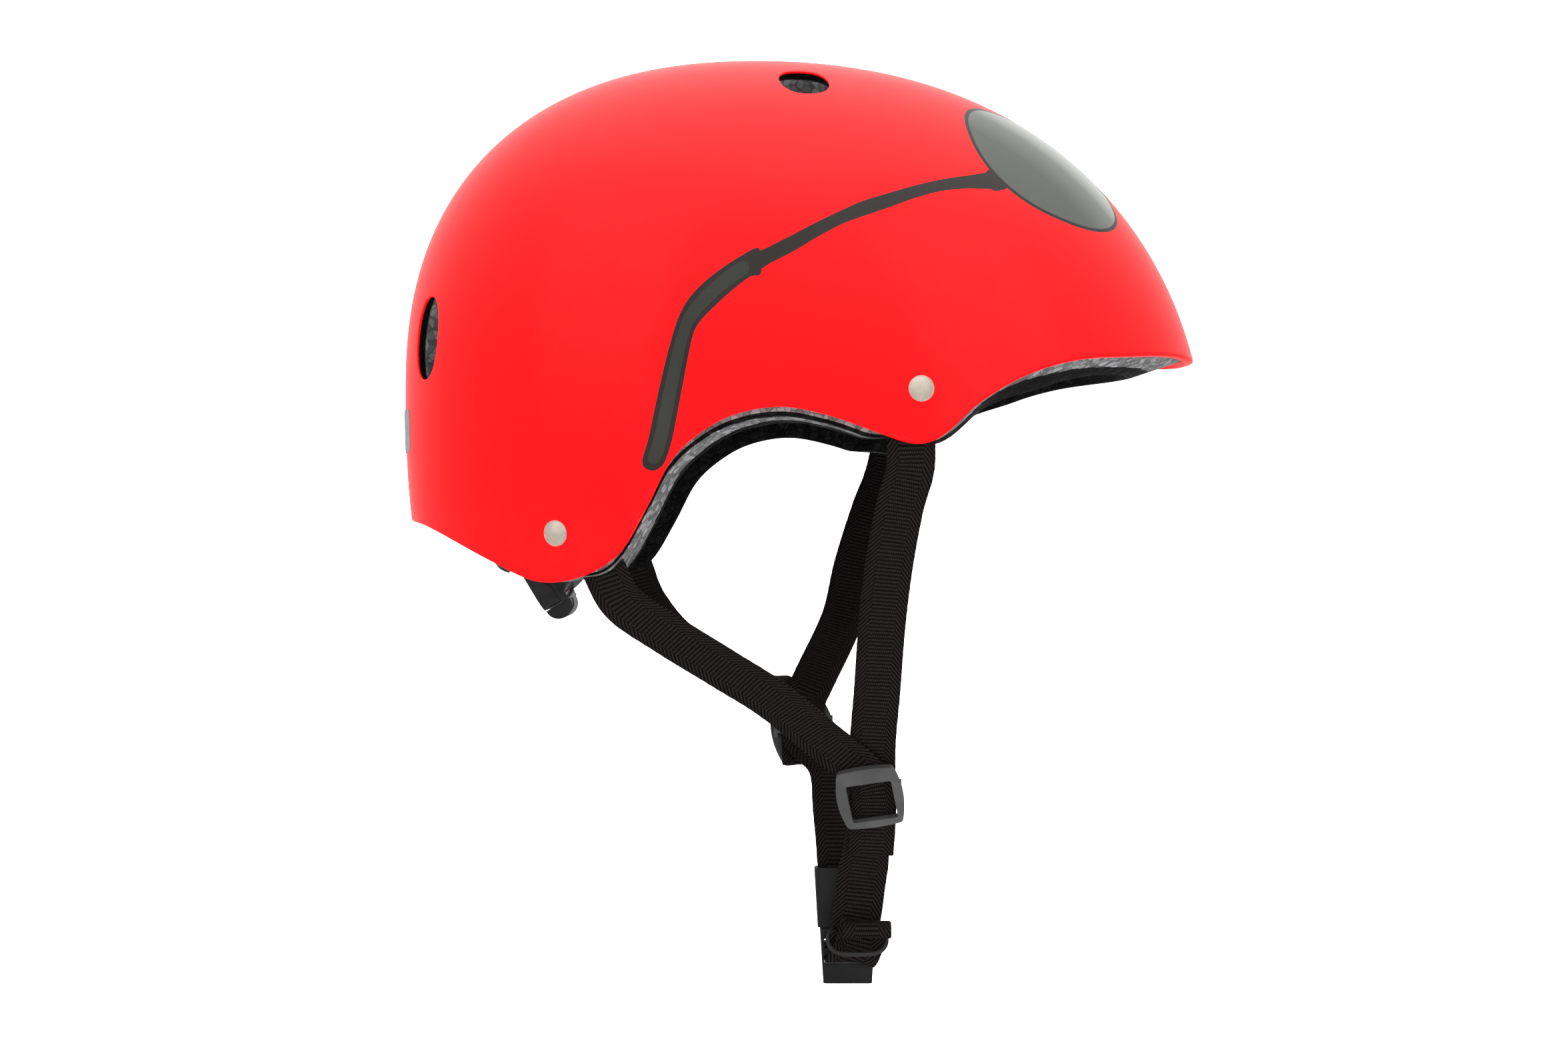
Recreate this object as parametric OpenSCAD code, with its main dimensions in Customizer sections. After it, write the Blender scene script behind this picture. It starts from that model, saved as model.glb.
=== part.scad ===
// Child's hard-shell helmet: shell, foam liner, comfort pads, chin harness and rear fit dial.
// +X is the front, +Z is up, the wearer's right is -Y. The origin is the middle of the head's
// cavity at brow level. Millimetres.

/* [Shell] */
// From the crown's axis to the visor's tip
shell_front = 149.2; // [146:0.2:152]
// From the crown's axis to the back of the shell
shell_rear = 118; // [115:0.5:121]
// Half of the shell's width
shell_side = 100; // [97:0.5:103]
// Height of the crown over the origin
crown_z = 103; // [100:0.5:106]
// Thickness of the shell's wall
shell_t = 3; // [2.6:0.1:3.2]

/* [Liner] */
// Foam thickness at the crown
foam_crown = 22; // [20:1:24]
// Foam thickness at the sides
foam_side = 17; // [16:1:18]
// Foam thickness at the back
foam_rear = 19; // [18:1:20]
// Foam thickness over the brow
foam_front = 29; // [27:1:31]
// Thickness of the comfort pads
pad_t = 6; // [5:0.5:7]

/* [Harness] */
// Width of the webbing
webbing_w = 15; // [14:0.5:15.5]
// Thickness of the webbing
webbing_t = 1.3; // [1.1:0.1:1.4]
// Diameter of the keeper ring's rubber
ring_d = 1.5; // [1.2:0.1:1.6]

/* [Fit dial] */
// Radius of the dial's knob
dial_r = 13; // [12:0.5:14]
// Slant of the cradle from upright, in degrees
cradle_slant = 31; // [29:1:33]
// Tooth size of the pinion and its racks
tooth_module = 0.7; // [0.7]
// Number of teeth on the pinion
pinion_teeth = 12; // [12]

/* [Hidden] */

$fn = 48;
right = -1;
left = 1;
crown_x = -8;
plan_power = 2.2;
columns = 96;
rows = 12;

// Lower edge of the shell in side view, [x, z], from the back to the visor's tip
rim_line = [
  [-127, -49], [-115, -51.5], [-91, -62.6], [-79, -67.8], [-70, -68.5], [-60, -65.8], [-50, -58.8],
  [-42, -45.4], [-35, -32], [-27, -24], [-16, -17.7], [-1, -15], [14, -17.7], [28, -22.5], [40, -26.1],
  [48, -24], [60, -13.5], [75, -4.7], [92, 0.6], [110, 2.5], [128, 3.6], [142, 2]
];
foam_gap = 0.3;
foam_drop = 2.3;
foam_inset = 0.6;
foam_lip = 4.5;
foam_shift = 3;

// Vents: [azimuth, height, length up the shell, width]
vents = [
  [0, 44, 29, 17], [0, 97, 22, 15], [180, 98, 19, 15], [75, 90.4, 18, 15], [-75, 90.4, 18, 15],
  [156, 9, 26, 16], [-156, 9, 26, 16]
];
// Rivets: [azimuth, height]
front_rivet = [62.6, -9.3];
rear_rivet = [125.7, -53.3];
rivet_r = 4;
shank_r = 1.6;
strap_depth = shell_t + 1 + webbing_t / 2;
washer_t = 0.8;

// Badge on the back of the shell: middle height, height, reach in azimuth to each side
badge_z = -20;
badge_h = 14;
badge_reach = 15.5;

function mix(a, b, t) = a + (b - a) * t;
function unit(v) = v / norm(v);
function soft(t) = let(u = min(1, max(0, t))) u * u * (3 - 2 * u);
function by_side(az, front, side, rear) = mix(side, cos(az) >= 0 ? front : rear, pow(cos(az), 2));

// --- The shell's outer surface ---------------------------------------------------------------
function plan_radius(az) =
  let(reach = cos(az) >= 0 ? shell_front : shell_rear)
  pow(pow(abs(cos(az)) / reach, plan_power) + pow(abs(sin(az)) / shell_side, plan_power), -1 / plan_power);
function waist(az) = by_side(az, -40, -10, -7);
function fullness(az) = by_side(az, 2.22, 2.35, 2.37);
function depth_below(az) = by_side(az, 134, 190, 160);

// A point at an azimuth from the front and a polar angle from the crown
function dome(az, pol) =
  let(
    p = 2 / fullness(az),
    c = cos(pol),
    z = c >= 0 ? waist(az) + (crown_z - waist(az)) * pow(c, p) : waist(az) - depth_below(az) * pow(-c, p),
    r = plan_radius(az) * pow(sin(pol), p)
  )
  [crown_x + r * cos(az), r * sin(az), z];
function dome_normal(az, pol) =
  pol < 0.01 ? [0, 0, 1] :
  let(q = max(pol, 2), down = dome(az, q + 1) - dome(az, q - 1), along = dome(az + 1, q) - dome(az - 1, q))
  unit(cross(down, along));
function under(az, pol, depth) = dome(az, pol) - depth * dome_normal(az, pol);
// The polar angle at which the outer surface is at height z
function pol_at(az, z) =
  let(w = waist(az), f = fullness(az) / 2)
  acos(z >= w ? pow((z - w) / (crown_z - w), f) : -pow((w - z) / depth_below(az), f));

// --- The lower rim -----------------------------------------------------------------------------
function rim_slope(i) =
  let(a = rim_line[max(i - 1, 0)], b = rim_line[min(i + 1, len(rim_line) - 1)])
  (b[1] - a[1]) / (b[0] - a[0]);
function rim_z(x) =
  let(
    u = min(max(x, rim_line[0][0]), rim_line[len(rim_line) - 1][0] - 0.01),
    i = max([for (k = [0:len(rim_line) - 2]) if (u >= rim_line[k][0]) k]),
    h = rim_line[i + 1][0] - rim_line[i][0],
    t = (u - rim_line[i][0]) / h
  )
  rim_line[i][1] * (1 + 2 * t) * pow(1 - t, 2) + rim_line[i + 1][1] * t * t * (3 - 2 * t)
  + h * rim_slope(i) * t * pow(1 - t, 2) - h * rim_slope(i + 1) * t * t * (1 - t);

// The polar angle at which a layer meets the rim line, lowered by drop and moved forward by shift
function rim_angle(az, depth, drop, shift, lo = 35, hi = 140, steps = 16) =
  steps == 0 ? (lo + hi) / 2 :
  let(mid = (lo + hi) / 2, p = under(az, mid, depth), above = p[2] > rim_z(p[0] - shift) - drop)
  rim_angle(az, depth, drop, shift, above ? mid : lo, above ? hi : mid, steps - 1);

column_angles = [for (i = [0:columns - 1]) i * 360 / columns];
shell_rim = [for (az = column_angles) rim_angle(az, 0, 0, 0)];

// --- The foam's inner surface: u runs from 0 at the crown to 1 at the foam's lower inner edge ---
function foam_bevel(az) = by_side(az, 11, 2, 4);
function foam_wall(az, u) =
  shell_t + mix(foam_crown, by_side(az, foam_front, foam_side, foam_rear), soft(u * 1.5))
  - foam_bevel(az) * pow(max(0, (u - 0.82) / 0.18), 1.6);
// It shows below the shell over the ears, and its lip below the brim; elsewhere it stays inside
function off_front(az) = abs(az > 180 ? az - 360 : az);
function over_ear(az) = soft((off_front(az) - 68) / 8) * (1 - soft((off_front(az) - 117) / 8));
function over_brow(az) = 1 - soft((off_front(az) - 38) / 14);
function foam_rim(az) =
  rim_angle(az, foam_wall(az, 1), foam_lip * mix(0.05, 1, max(over_ear(az), over_brow(az))), foam_shift);
function foam_inside(az, u, rim, in = 0) = under(az, u * rim, foam_wall(az, u) + in);

// --- Solids from grids of points -----------------------------------------------------------------
// A cap closed all round: two layers of rings with one crown point each, outer first
function ring_start(layer, ring) = layer * (rows * columns + 1) + 1 + (ring - 1) * columns;
cap_faces = [
  for (layer = [0, 1]) let(top = layer * (rows * columns + 1)) for (i = [0:columns - 1])
    let(j = (i + 1) % columns, r = ring_start(layer, 1))
    layer == 0 ? [top, r + j, r + i] : [top, r + i, r + j],
  for (layer = [0, 1]) for (k = [1:rows - 1]) for (i = [0:columns - 1])
    let(j = (i + 1) % columns, a = ring_start(layer, k), b = ring_start(layer, k + 1))
    each layer == 0 ? [[a + i, a + j, b + j], [a + i, b + j, b + i]]
                    : [[a + i, b + j, a + j], [a + i, b + i, b + j]],
  for (i = [0:columns - 1])
    let(j = (i + 1) % columns, a = ring_start(0, rows), b = ring_start(1, rows))
    each [[a + i, a + j, b + j], [a + i, b + j, b + i]]
];

// A patch of a surface, thick and crowned in its middle: outer and inner grids of n by n cells
function patch_index(n, layer, i, j) = layer * (n + 1) * (n + 1) + i * (n + 1) + j;
function patch_faces(n) = [
  for (i = [0:n - 1]) for (j = [0:n - 1])
    let(
      a = patch_index(n, 0, i, j), b = patch_index(n, 0, i + 1, j), c = patch_index(n, 0, i + 1, j + 1),
      d = patch_index(n, 0, i, j + 1), k = (n + 1) * (n + 1)
    )
    each [[a, b, c], [a, c, d], [a + k, c + k, b + k], [a + k, d + k, c + k]],
  for (i = [0:n - 1])
    let(
      k = (n + 1) * (n + 1), a = patch_index(n, 0, i, 0), b = patch_index(n, 0, i + 1, 0),
      c = patch_index(n, 0, i, n), d = patch_index(n, 0, i + 1, n), e = patch_index(n, 0, 0, i),
      f = patch_index(n, 0, 0, i + 1), g = patch_index(n, 0, n, i), h = patch_index(n, 0, n, i + 1)
    )
    each [
      [a, b + k, b], [a, a + k, b + k], [c, d, d + k], [c, d + k, c + k],
      [e, f, f + k], [e, f + k, e + k], [g, h + k, h], [g, g + k, h + k]
    ]
];

// A pad on the foam's inside between two azimuths and two fractions of the way down
module foam_patch(az_0, az_1, u_0, u_1, gap, thick, n = 8) {
  grid = [for (i = [0:n]) for (j = [0:n]) [i / n, j / n]];
  outline = function(s, t) [
    mix(az_0, az_1, 0.5 + (s - 0.5) * sqrt(1 - 0.5 * pow(2 * t - 1, 4))),
    mix(u_0, u_1, 0.5 + (t - 0.5) * sqrt(1 - 0.5 * pow(2 * s - 1, 4)))
  ];
  crowned = function(s, t)
    thick * (0.45 + 0.55 * pow((1 - pow(2 * s - 1, 4)) * (1 - pow(2 * t - 1, 4)), 0.5));
  back = [for (g = grid) let(q = outline(g[0], g[1])) foam_inside(q[0], q[1], foam_rim(q[0]), gap)];
  face = [
    for (g = grid) let(q = outline(g[0], g[1]))
    foam_inside(q[0], q[1], foam_rim(q[0]), gap + crowned(g[0], g[1]))
  ];
  polyhedron(points = concat(back, face), faces = patch_faces(n));
}

// A smooth line through points, each span in a number of steps
function spline_at(p, i, t) =
  let(
    n = len(p) - 1, a = p[max(i - 1, 0)], b = p[i], c = p[i + 1], d = p[min(i + 2, n)],
    m = (c - a) / 2, q = (d - b) / 2
  )
  b * (1 + 2 * t) * pow(1 - t, 2) + c * t * t * (3 - 2 * t) + m * t * pow(1 - t, 2) - q * t * t * (1 - t);
function smooth_line(p, steps = 3) = [
  for (i = [0:len(p) - 2]) for (k = [0:steps - 1]) spline_at(p, i, k / steps),
  p[len(p) - 1]
];
function heading(p, i) = unit(p[min(i + 1, len(p) - 1)] - p[max(i - 1, 0)]);

// A flat strip along a line, given the way across it at each of the line's points
module strip(line, across, w, t) {
  n = len(line) - 1;
  points = [
    for (i = [0:n])
      let(side = across[i] * w / 2, out = unit(cross(across[i], heading(line, i))) * t / 2)
      each [line[i] - side - out, line[i] + side - out, line[i] + side + out, line[i] - side + out]
  ];
  sides = [
    for (i = [0:n - 1]) for (k = [0:3])
      let(a = 4 * i + k, b = 4 * i + (k + 1) % 4)
      each [[a, b, b + 4], [a, b + 4, a + 4]]
  ];
  ends = [[0, 3, 2], [0, 2, 1], [4 * n, 4 * n + 1, 4 * n + 2], [4 * n, 4 * n + 2, 4 * n + 3]];
  polyhedron(points = points, faces = concat(sides, ends));
}

// Webbing along a line. It starts facing faces_0, faces faces_1 after the fraction turned of its
// length, and turns to faces_2 over its last part. After the fraction level it stays square to X.
module webbing(
  line, faces_0, faces_1, turned = 0.35, w = webbing_w, t = webbing_t, faces_2 = undef, level = 2
) {
  n = len(line) - 1;
  last = is_undef(faces_2) ? faces_1 : faces_2;
  across = [
    for (i = [0:n])
      let(faces = mix(mix(faces_0, faces_1, soft(i / n / turned)), last, soft((i / n - 0.8) / 0.2)))
      unit(mix(unit(cross(heading(line, i), faces)), [1, 0, 0], soft((i / n - level) / 0.08)))
  ];
  strip(line, across, w, t);
}

// A closed round ring of rubber along a looped line
module loop_tube(line, d, sides = 8) {
  n = len(line);
  points = [
    for (i = [0:n - 1])
      let(
        h = unit(line[(i + 1) % n] - line[(i + n - 1) % n]),
        side = unit(cross(h, [0.1, 1, 0.3])),
        up = cross(side, h)
      )
      for (k = [0:sides - 1]) line[i] + d / 2 * (cos(360 * k / sides) * side + sin(360 * k / sides) * up)
  ];
  faces = [
    for (i = [0:n - 1]) for (k = [0:sides - 1])
      let(a = i * sides, b = ((i + 1) % n) * sides, l = (k + 1) % sides)
      each [[a + k, a + l, b + l], [a + k, b + l, b + k]]
  ];
  polyhedron(points = points, faces = faces);
}

// Children stand on the shell's surface at [azimuth, height], their +Z along its normal
module on_shell(place) {
  pol = pol_at(place[0], place[1]);
  n = dome_normal(place[0], pol);
  translate(dome(place[0], pol)) rotate([0, acos(n[2]), atan2(n[1], n[0])]) children();
}
module both_sides(place) {
  for (side = [right, left]) on_shell([side * place[0], place[1]]) children();
}

// --- Shell and liner -----------------------------------------------------------------------------
module vent_cutters(low, high, grow) {
  for (v = vents)
    on_shell([v[0], v[1]])
      hull()
        for (end = [-1, 1])
          translate([end * max(0, v[2] - v[3]) / 2, end * max(0, v[3] - v[2]) / 2, low])
            cylinder(r = min(v[2], v[3]) / 2 + grow, h = high - low, $fn = 24);
}

module outer_shell() {
  color("red")
  difference() {
    polyhedron(
      points = [
        dome(0, 0),
        for (k = [1:rows]) for (i = [0:columns - 1]) dome(column_angles[i], shell_rim[i] * k / rows),
        dome(0, 0) - [0, 0, shell_t],
        for (k = [1:rows]) for (i = [0:columns - 1]) under(column_angles[i], shell_rim[i] * k / rows, shell_t)
      ],
      faces = cap_faces
    );
    vent_cutters(-12, 8, 0);
    for (place = [front_rivet, rear_rivet])
      both_sides(place) hull() translate([0, 0, -6]) cylinder(r = shank_r + 0.1, h = 10, $fn = 16);
  }
}

module eps_liner() {
  skin = shell_t + foam_gap;
  outer_rim = [for (az = column_angles) rim_angle(az, skin, mix(-foam_inset, foam_drop, over_ear(az)), 0)];
  inner_rim = [for (az = column_angles) foam_rim(az)];
  color([0.1, 0.1, 0.1])
  difference() {
    polyhedron(
      points = [
        dome(0, 0) - [0, 0, skin],
        for (k = [1:rows]) for (i = [0:columns - 1]) under(column_angles[i], outer_rim[i] * k / rows, skin),
        dome(0, 0) - [0, 0, foam_wall(0, 0)],
        for (k = [1:rows]) for (i = [0:columns - 1]) foam_inside(column_angles[i], k / rows, inner_rim[i])
      ],
      faces = cap_faces
    );
    vent_cutters(-60, 4, 1.5);
    for (place = [front_rivet, rear_rivet])
      both_sides(place) hull() translate([0, 0, -9]) cylinder(r = 6.5, h = 7, $fn = 20);
    at_cradle() rotate([0, -90, 0]) translate([0, 0, -1]) cylinder(r = dial_r + 2, h = 12);
    for (side = [right, left]) {
      front_face = anchor_face(side, front_rivet);
      rear_face = anchor_face(side, rear_rivet);
      webbing(concat([in_shell(side, 61.2, 6)], front_anchor(side)), front_face, front_face, 1, 18, 4.4);
      webbing(concat([in_shell(side, 132, -43)], rear_anchor(side)), rear_face, rear_face, 1, 18, 4.4);
    }
  }
}

module rear_badge() {
  n = 8;
  layer = function(depth) [
    for (i = [0:n]) for (j = [0:n])
      let(
        s = 2 * i / n - 1, t = 2 * j / n - 1,
        az = 180 + badge_reach * s * sqrt(1 - 0.2 * pow(t, 4)),
        z = badge_z - badge_h / 2 * t * sqrt(1 - 0.3 * pow(s, 6))
      )
      under(az, pol_at(az, z), depth)
  ];
  color("white") polyhedron(points = concat(layer(-0.5), layer(-0.05)), faces = patch_faces(n));
}

// --- Pads ----------------------------------------------------------------------------------------
pad_gap = 1.1;
module crown_pad() {
  color([0.08, 0.07, 0.07])
  for (az = [45:90:315]) foam_patch(az - 33, az + 33, 0.1, 0.35, pad_gap, pad_t, 6);
}
module brow_pad() {
  color([0.08, 0.07, 0.07]) foam_patch(-34, 34, 0.7, 0.88, pad_gap, pad_t);
}
module temple_pad(side) {
  color([0.08, 0.07, 0.07]) foam_patch(side * 78 - 28, side * 78 + 28, 0.62, 0.95, pad_gap, pad_t);
}
module right_temple_pad() { temple_pad(right); }
module left_temple_pad() { temple_pad(left); }
module rear_pad(side) {
  color([0.08, 0.07, 0.07]) foam_patch(side * 124 - 15, side * 124 + 15, 0.5, 0.76, pad_gap, pad_t);
}
module right_rear_pad() { rear_pad(right); }
module left_rear_pad() { rear_pad(left); }
module hook_dots() {
  places = [
    [0, 0.79], [78, 0.78], [-78, 0.78], [124, 0.63], [-124, 0.63],
    [45, 0.23], [135, 0.23], [225, 0.23], [315, 0.23]
  ];
  color("dimgray")
  for (p = places) let(wide = p[1] < 0.5 ? 14 : 6)
    foam_patch(p[0] - wide, p[0] + wide, p[1] - 0.05, p[1] + 0.05, 0.4, 0.6, 3);
}

// --- Rivets --------------------------------------------------------------------------------------
module rivet() {
  cap_h = 1.7;
  cap_r = (rivet_r * rivet_r + cap_h * cap_h) / (2 * cap_h);
  tail = strap_depth + webbing_t / 2 + washer_t + 0.4;
  color([0.75, 0.72, 0.66]) {
    translate([0, 0, 0.1]) intersection() {
      translate([0, 0, cap_h - cap_r]) sphere(r = cap_r, $fn = 64);
      cylinder(r = rivet_r, h = cap_h);
    }
    translate([0, 0, -tail]) cylinder(r = shank_r, h = tail + 0.4);
    translate([0, 0, -tail - 0.8]) cylinder(r1 = 2.2, r2 = 3, h = 0.9);
  }
}
module front_rivets() { both_sides(front_rivet) rivet(); }
module rear_rivets() { both_sides(rear_rivet) rivet(); }
module rivet_washers() {
  color("silver")
  for (place = [front_rivet, rear_rivet])
    both_sides(place)
      translate([0, 0, -strap_depth - webbing_t / 2 - 0.2 - washer_t])
        difference() {
          cylinder(r = 4.5, h = washer_t);
          translate([0, 0, -1]) cylinder(r = shank_r + 0.1, h = 3);
        }
}

// --- Harness -------------------------------------------------------------------------------------
function in_shell(side, az, z, more = 0) = under(side * az, pol_at(side * az, z), strap_depth + more);
function anchor_face(side, place) = dome_normal(side * place[0], pol_at(side * place[0], place[1]));
function front_anchor(side) = [
  in_shell(side, 61.5, 3), in_shell(side, 62.6, -9.3), in_shell(side, 63.6, -24), in_shell(side, 64.4, -36)
];
function rear_anchor(side) = [
  in_shell(side, 130.5, -45.5), in_shell(side, 125.7, -53.3), in_shell(side, 119.5, -62.5),
  in_shell(side, 114, -71)
];

// Sliders: centre, slant about X, lean about Y, turn of the frame in its own plane
right_slider_at = [[28.2, -23.4, -137.7], 30.6, 2.2, -12.5];
left_slider_at = [[6.6, 26, -120.3], -31, 0, -12.5];
function turn_x(p, a) = [p[0], p[1] * cos(a) - p[2] * sin(a), p[1] * sin(a) + p[2] * cos(a)];
function turn_y(p, a) = [p[0] * cos(a) + p[2] * sin(a), p[1], p[2] * cos(a) - p[0] * sin(a)];
function by_slider(at, p) = at[0] + turn_y(turn_x(p, at[1]), at[2]);
function slider_face(at, side) = turn_y(turn_x([0, side, 0], at[1]), at[2]);
strap_step = webbing_t + 0.4;

right_front_line = smooth_line([
  in_shell(right, 61.5, 3), in_shell(right, 62.6, -9.3), in_shell(right, 63.6, -24),
  [38.6, -87.5, -34], [35.6, -79.5, -46], [32.8, -68, -64], [31, -56, -83], [29.9, -43.3, -104],
  by_slider(right_slider_at, [0, 0, 19]), by_slider(right_slider_at, [0, 0, 0]),
  by_slider(right_slider_at, [0, 0, -22.7]),
  [25.8, -5, -170], [24.7, -3.5, -179], [23.4, -3.3, -186.2]
]);
left_front_line = smooth_line([
  in_shell(left, 61.5, 3), in_shell(left, 62.6, -9.3), in_shell(left, 63.6, -24),
  [36.4, 87.5, -34], [31.6, 79, -46], [25.4, 68, -65], [20.6, 55.6, -84],
  by_slider(left_slider_at, [4, 0, 19]), by_slider(left_slider_at, [0.3, 0, 9]),
  by_slider(left_slider_at, [0.8, 0, -6]),
  by_slider(left_slider_at, [4.6, 0, -12]), by_slider(left_slider_at, [9.6, 0, -18]), [17.2, 10.6, -147],
  [18.2, 5.2, -158], [19, 4, -169.8]
]);
right_rear_line = smooth_line([
  in_shell(right, 130.5, -45.5), in_shell(right, 125.7, -53.3), in_shell(right, 119.5, -62.5, 0.8),
  [-50, -82, -74.5], [-36, -73, -85], [-19, -61.5, -96.2], [-3, -50.5, -107],
  by_slider(right_slider_at, [-14, -strap_step - 0.4, 18.5]),
  by_slider(right_slider_at, [-4, -strap_step, 9.5]),
  by_slider(right_slider_at, [0, -strap_step, 2]), by_slider(right_slider_at, [0.6, -strap_step, -10]),
  by_slider(right_slider_at, [0.8, -strap_step, -24.7])
]);
left_rear_line = smooth_line([
  in_shell(left, 130.5, -45.5), in_shell(left, 125.7, -53.3), in_shell(left, 119.5, -62.5, 0.8),
  [-50, 81, -78], [-38, 70, -92], [-22, 58, -101.5], [-9, 47, -108.5],
  by_slider(left_slider_at, [-9, strap_step + 0.4, 15]), by_slider(left_slider_at, [-2.6, strap_step, 8]),
  by_slider(left_slider_at, [0, strap_step, 2]), by_slider(left_slider_at, [0, strap_step, -5]),
  by_slider(left_slider_at, [0.3, strap_step, -13.4])
]);

module right_front_strap() {
  color([0.07, 0.06, 0.06]) webbing(
    right_front_line, anchor_face(right, front_rivet), slider_face(right_slider_at, right), 0.35, webbing_w,
    webbing_t, [0, -1, -0.3]
  );
}
module left_front_strap() {
  color([0.07, 0.06, 0.06]) webbing(
    left_front_line, anchor_face(left, front_rivet), slider_face(left_slider_at, left), 0.35, webbing_w,
    webbing_t, [0, 1, 0], 0.56
  );
}
module right_rear_strap() {
  color([0.07, 0.06, 0.06]) webbing(
    right_rear_line, anchor_face(right, rear_rivet), slider_face(right_slider_at, right), 0.75
  );
}
module left_rear_strap() {
  color([0.07, 0.06, 0.06]) webbing(
    left_rear_line, anchor_face(left, rear_rivet), slider_face(left_slider_at, left), 0.75
  );
}

// A tri-glide: a frame in front of the webbing, and a bar behind it between two side walls
slider_w = 21.8;
slider_h = 23.4;
slider_window = [13.4, 13.2];
module slider(at, side) {
  front = webbing_t / 2 + strap_step + 0.35;
  back = webbing_t / 2 + 0.35;
  plate_t = 2.2;
  bar_t = 1.8;
  module bulged(w, h, t, r) {
    linear_extrude(t) offset(r) offset(-r) intersection() {
      translate([-w / 2, -h / 2]) square([w, h]);
      translate([w, 0]) circle(w * 1.5, $fn = 120);
      translate([-w, 0]) circle(w * 1.5, $fn = 120);
      translate([0, h * 2]) circle(h * 2.5, $fn = 120);
      translate([0, -h * 2]) circle(h * 2.5, $fn = 120);
    }
  }
  color([0.12, 0.12, 0.12])
  translate(at[0]) rotate([at[1], at[2], 0]) mirror([0, side == left ? 1 : 0, 0]) {
    translate([0, -front, 0]) rotate([90, at[3], 0]) difference() {
      bulged(slider_w, slider_h, plate_t, 1.6);
      translate([0.3, -1.5, -1]) linear_extrude(plate_t + 2) offset(0.8) square(slider_window, center = true);
    }
    for (end = [-1, 1])
      translate([end * 9.4 - 0.75, -front - 0.1, -3]) cube([1.5, front + back + bar_t + 0.1, 6]);
    translate([-9.4, back, -3]) cube([18.8, bar_t, 6]);
  }
}
module right_slider() { slider(right_slider_at, right); }
module left_slider() { slider(left_slider_at, left); }

// --- Chin buckle: its mouth is the plane z = mouth_z, the plug is below it ------------------------
buckle_x = 21.4;
buckle_y = 4;
mouth_z = -186;
socket_w = 20.2;
socket_top_w = 22.4;
socket_h = 20;
socket_t = 8;
plug_w = 16.4;
plug_top_w = 18.6;
plug_t = 6.6;
plug_h = 18.9;
prong_h = 12;

module block(w, t, h, r) {
  linear_extrude(h) offset(r) offset(-r) square([w, t], center = true);
}
module buckle_socket() {
  color([0.1, 0.1, 0.1])
  translate([buckle_x, buckle_y, mouth_z]) difference() {
    hull() {
      block(socket_w, socket_t, 1, 2.4);
      translate([0, 0, socket_h - 1]) block(socket_top_w, socket_t, 1, 2.4);
    }
    translate([-9, -2.4, -1]) cube([18, 4.8, 14.6]);
    for (end = [-1, 1]) translate([end * 11 - 3, -1.9, 4.6]) cube([6, 3.8, 6]);
    translate([-10.2, -1, 15.6]) cube([16.6, 6, 2.6]);
    translate([-10.2, -1, 15.6]) cube([16.6, 2, 6]);
  }
}
module buckle_plug() {
  color([0.1, 0.1, 0.1])
  translate([buckle_x, buckle_y, mouth_z]) {
    difference() {
      hull() {
        translate([0, 0, -plug_h]) block(plug_w, plug_t, 1, 1.4);
        translate([0, 0, -1.3]) block(plug_top_w, plug_t, 1, 1.4);
      }
      for (slot = [-12.4, -7.1]) translate([-7.9, -5, slot]) cube([15.8, 10, 3.2]);
    }
    translate([-2, -1.6, -0.5]) cube([4, 3.2, 11.5]);
  }
}
// A squeeze arm: rooted at the plug, with a shoulder that sits in the socket's window
module prong(end) {
  color([0.1, 0.1, 0.1])
  translate([buckle_x, buckle_y, mouth_z]) mirror([end < 0 ? 1 : 0, 0, 0])
    rotate([90, 0, 0]) translate([0, 0, -1.7]) linear_extrude(3.4)
      polygon([
        [5.4, 0], [7.6, 0], [8.2, 5.1], [10.4, 5.1], [10.5, 7.2], [7.6, prong_h], [5.6, prong_h], [5, 9]
      ]);
}
module front_prong() { prong(1); }
module rear_prong() { prong(-1); }

// The loose tail: out of the plug's upper slot, round its bar, up in front and rolled
roll_x = 26.9;
roll_at = [-8.3, -185.9];
roll_r = 3;
roll_pitch = 1.4;
roll_turn = 440;
tail_line = concat(
  smooth_line([
    [23.6, -3, -188.4], [22.5, -1.6, -190.2], [21.6, 1.2, -191.3], [21.6, 4, -191.5], [21.6, 7.2, -191.6],
    [21.6, 9.2, -192.5], [21.6, 9.7, -194.2], [21.6, 9.2, -195.9], [21.6, 7.2, -196.8], [21.6, 4, -196.8],
    [21.6, 1, -196.9], [22.2, -1.8, -196.8], [23.6, -3.9, -195.6], [25, -4.8, -193], [25.5, -5.1, -190]
  ], 2),
  [
    for (a = [0:20:roll_turn]) let(r = roll_r - roll_pitch * a / 360)
    [roll_x, roll_at[0] + r * cos(a), roll_at[1] + r * sin(a)]
  ]
);
module strap_tail() {
  color([0.07, 0.06, 0.06]) strip(tail_line, [for (p = tail_line) [-1, 0, 0]], webbing_w, webbing_t);
}

// The keeper ring: a long loop, low in front of the tail and high behind the strap
ring_middle = [24.5, -4.05, -189.4];
ring_reach = [10.2, -3.3, -4.5];
module keeper_ring() {
  line = [
    for (a = [0:15:345]) let(along = sign(cos(a)) * pow(abs(cos(a)), 0.5))
      ring_middle + [ring_reach[0] * along, ring_reach[1] * sin(a), ring_reach[2] * sin(a)]
  ];
  color([0.05, 0.05, 0.05]) loop_tube(line, ring_d);
}

// --- Rear fit cradle: local +X points at the head, +Z up along the plate ---------------------------
cradle_at = [-94.5, 0, -53];
pitch_r = tooth_module * pinion_teeth / 2;
rack_x = 2.7;
rack_t = 3.2;
housing_w = 46;
module at_cradle() { translate(cradle_at) rotate([0, -cradle_slant, 0]) children(); }
function cradle_point(p) = cradle_at + turn_y(p, -cradle_slant);

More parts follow.
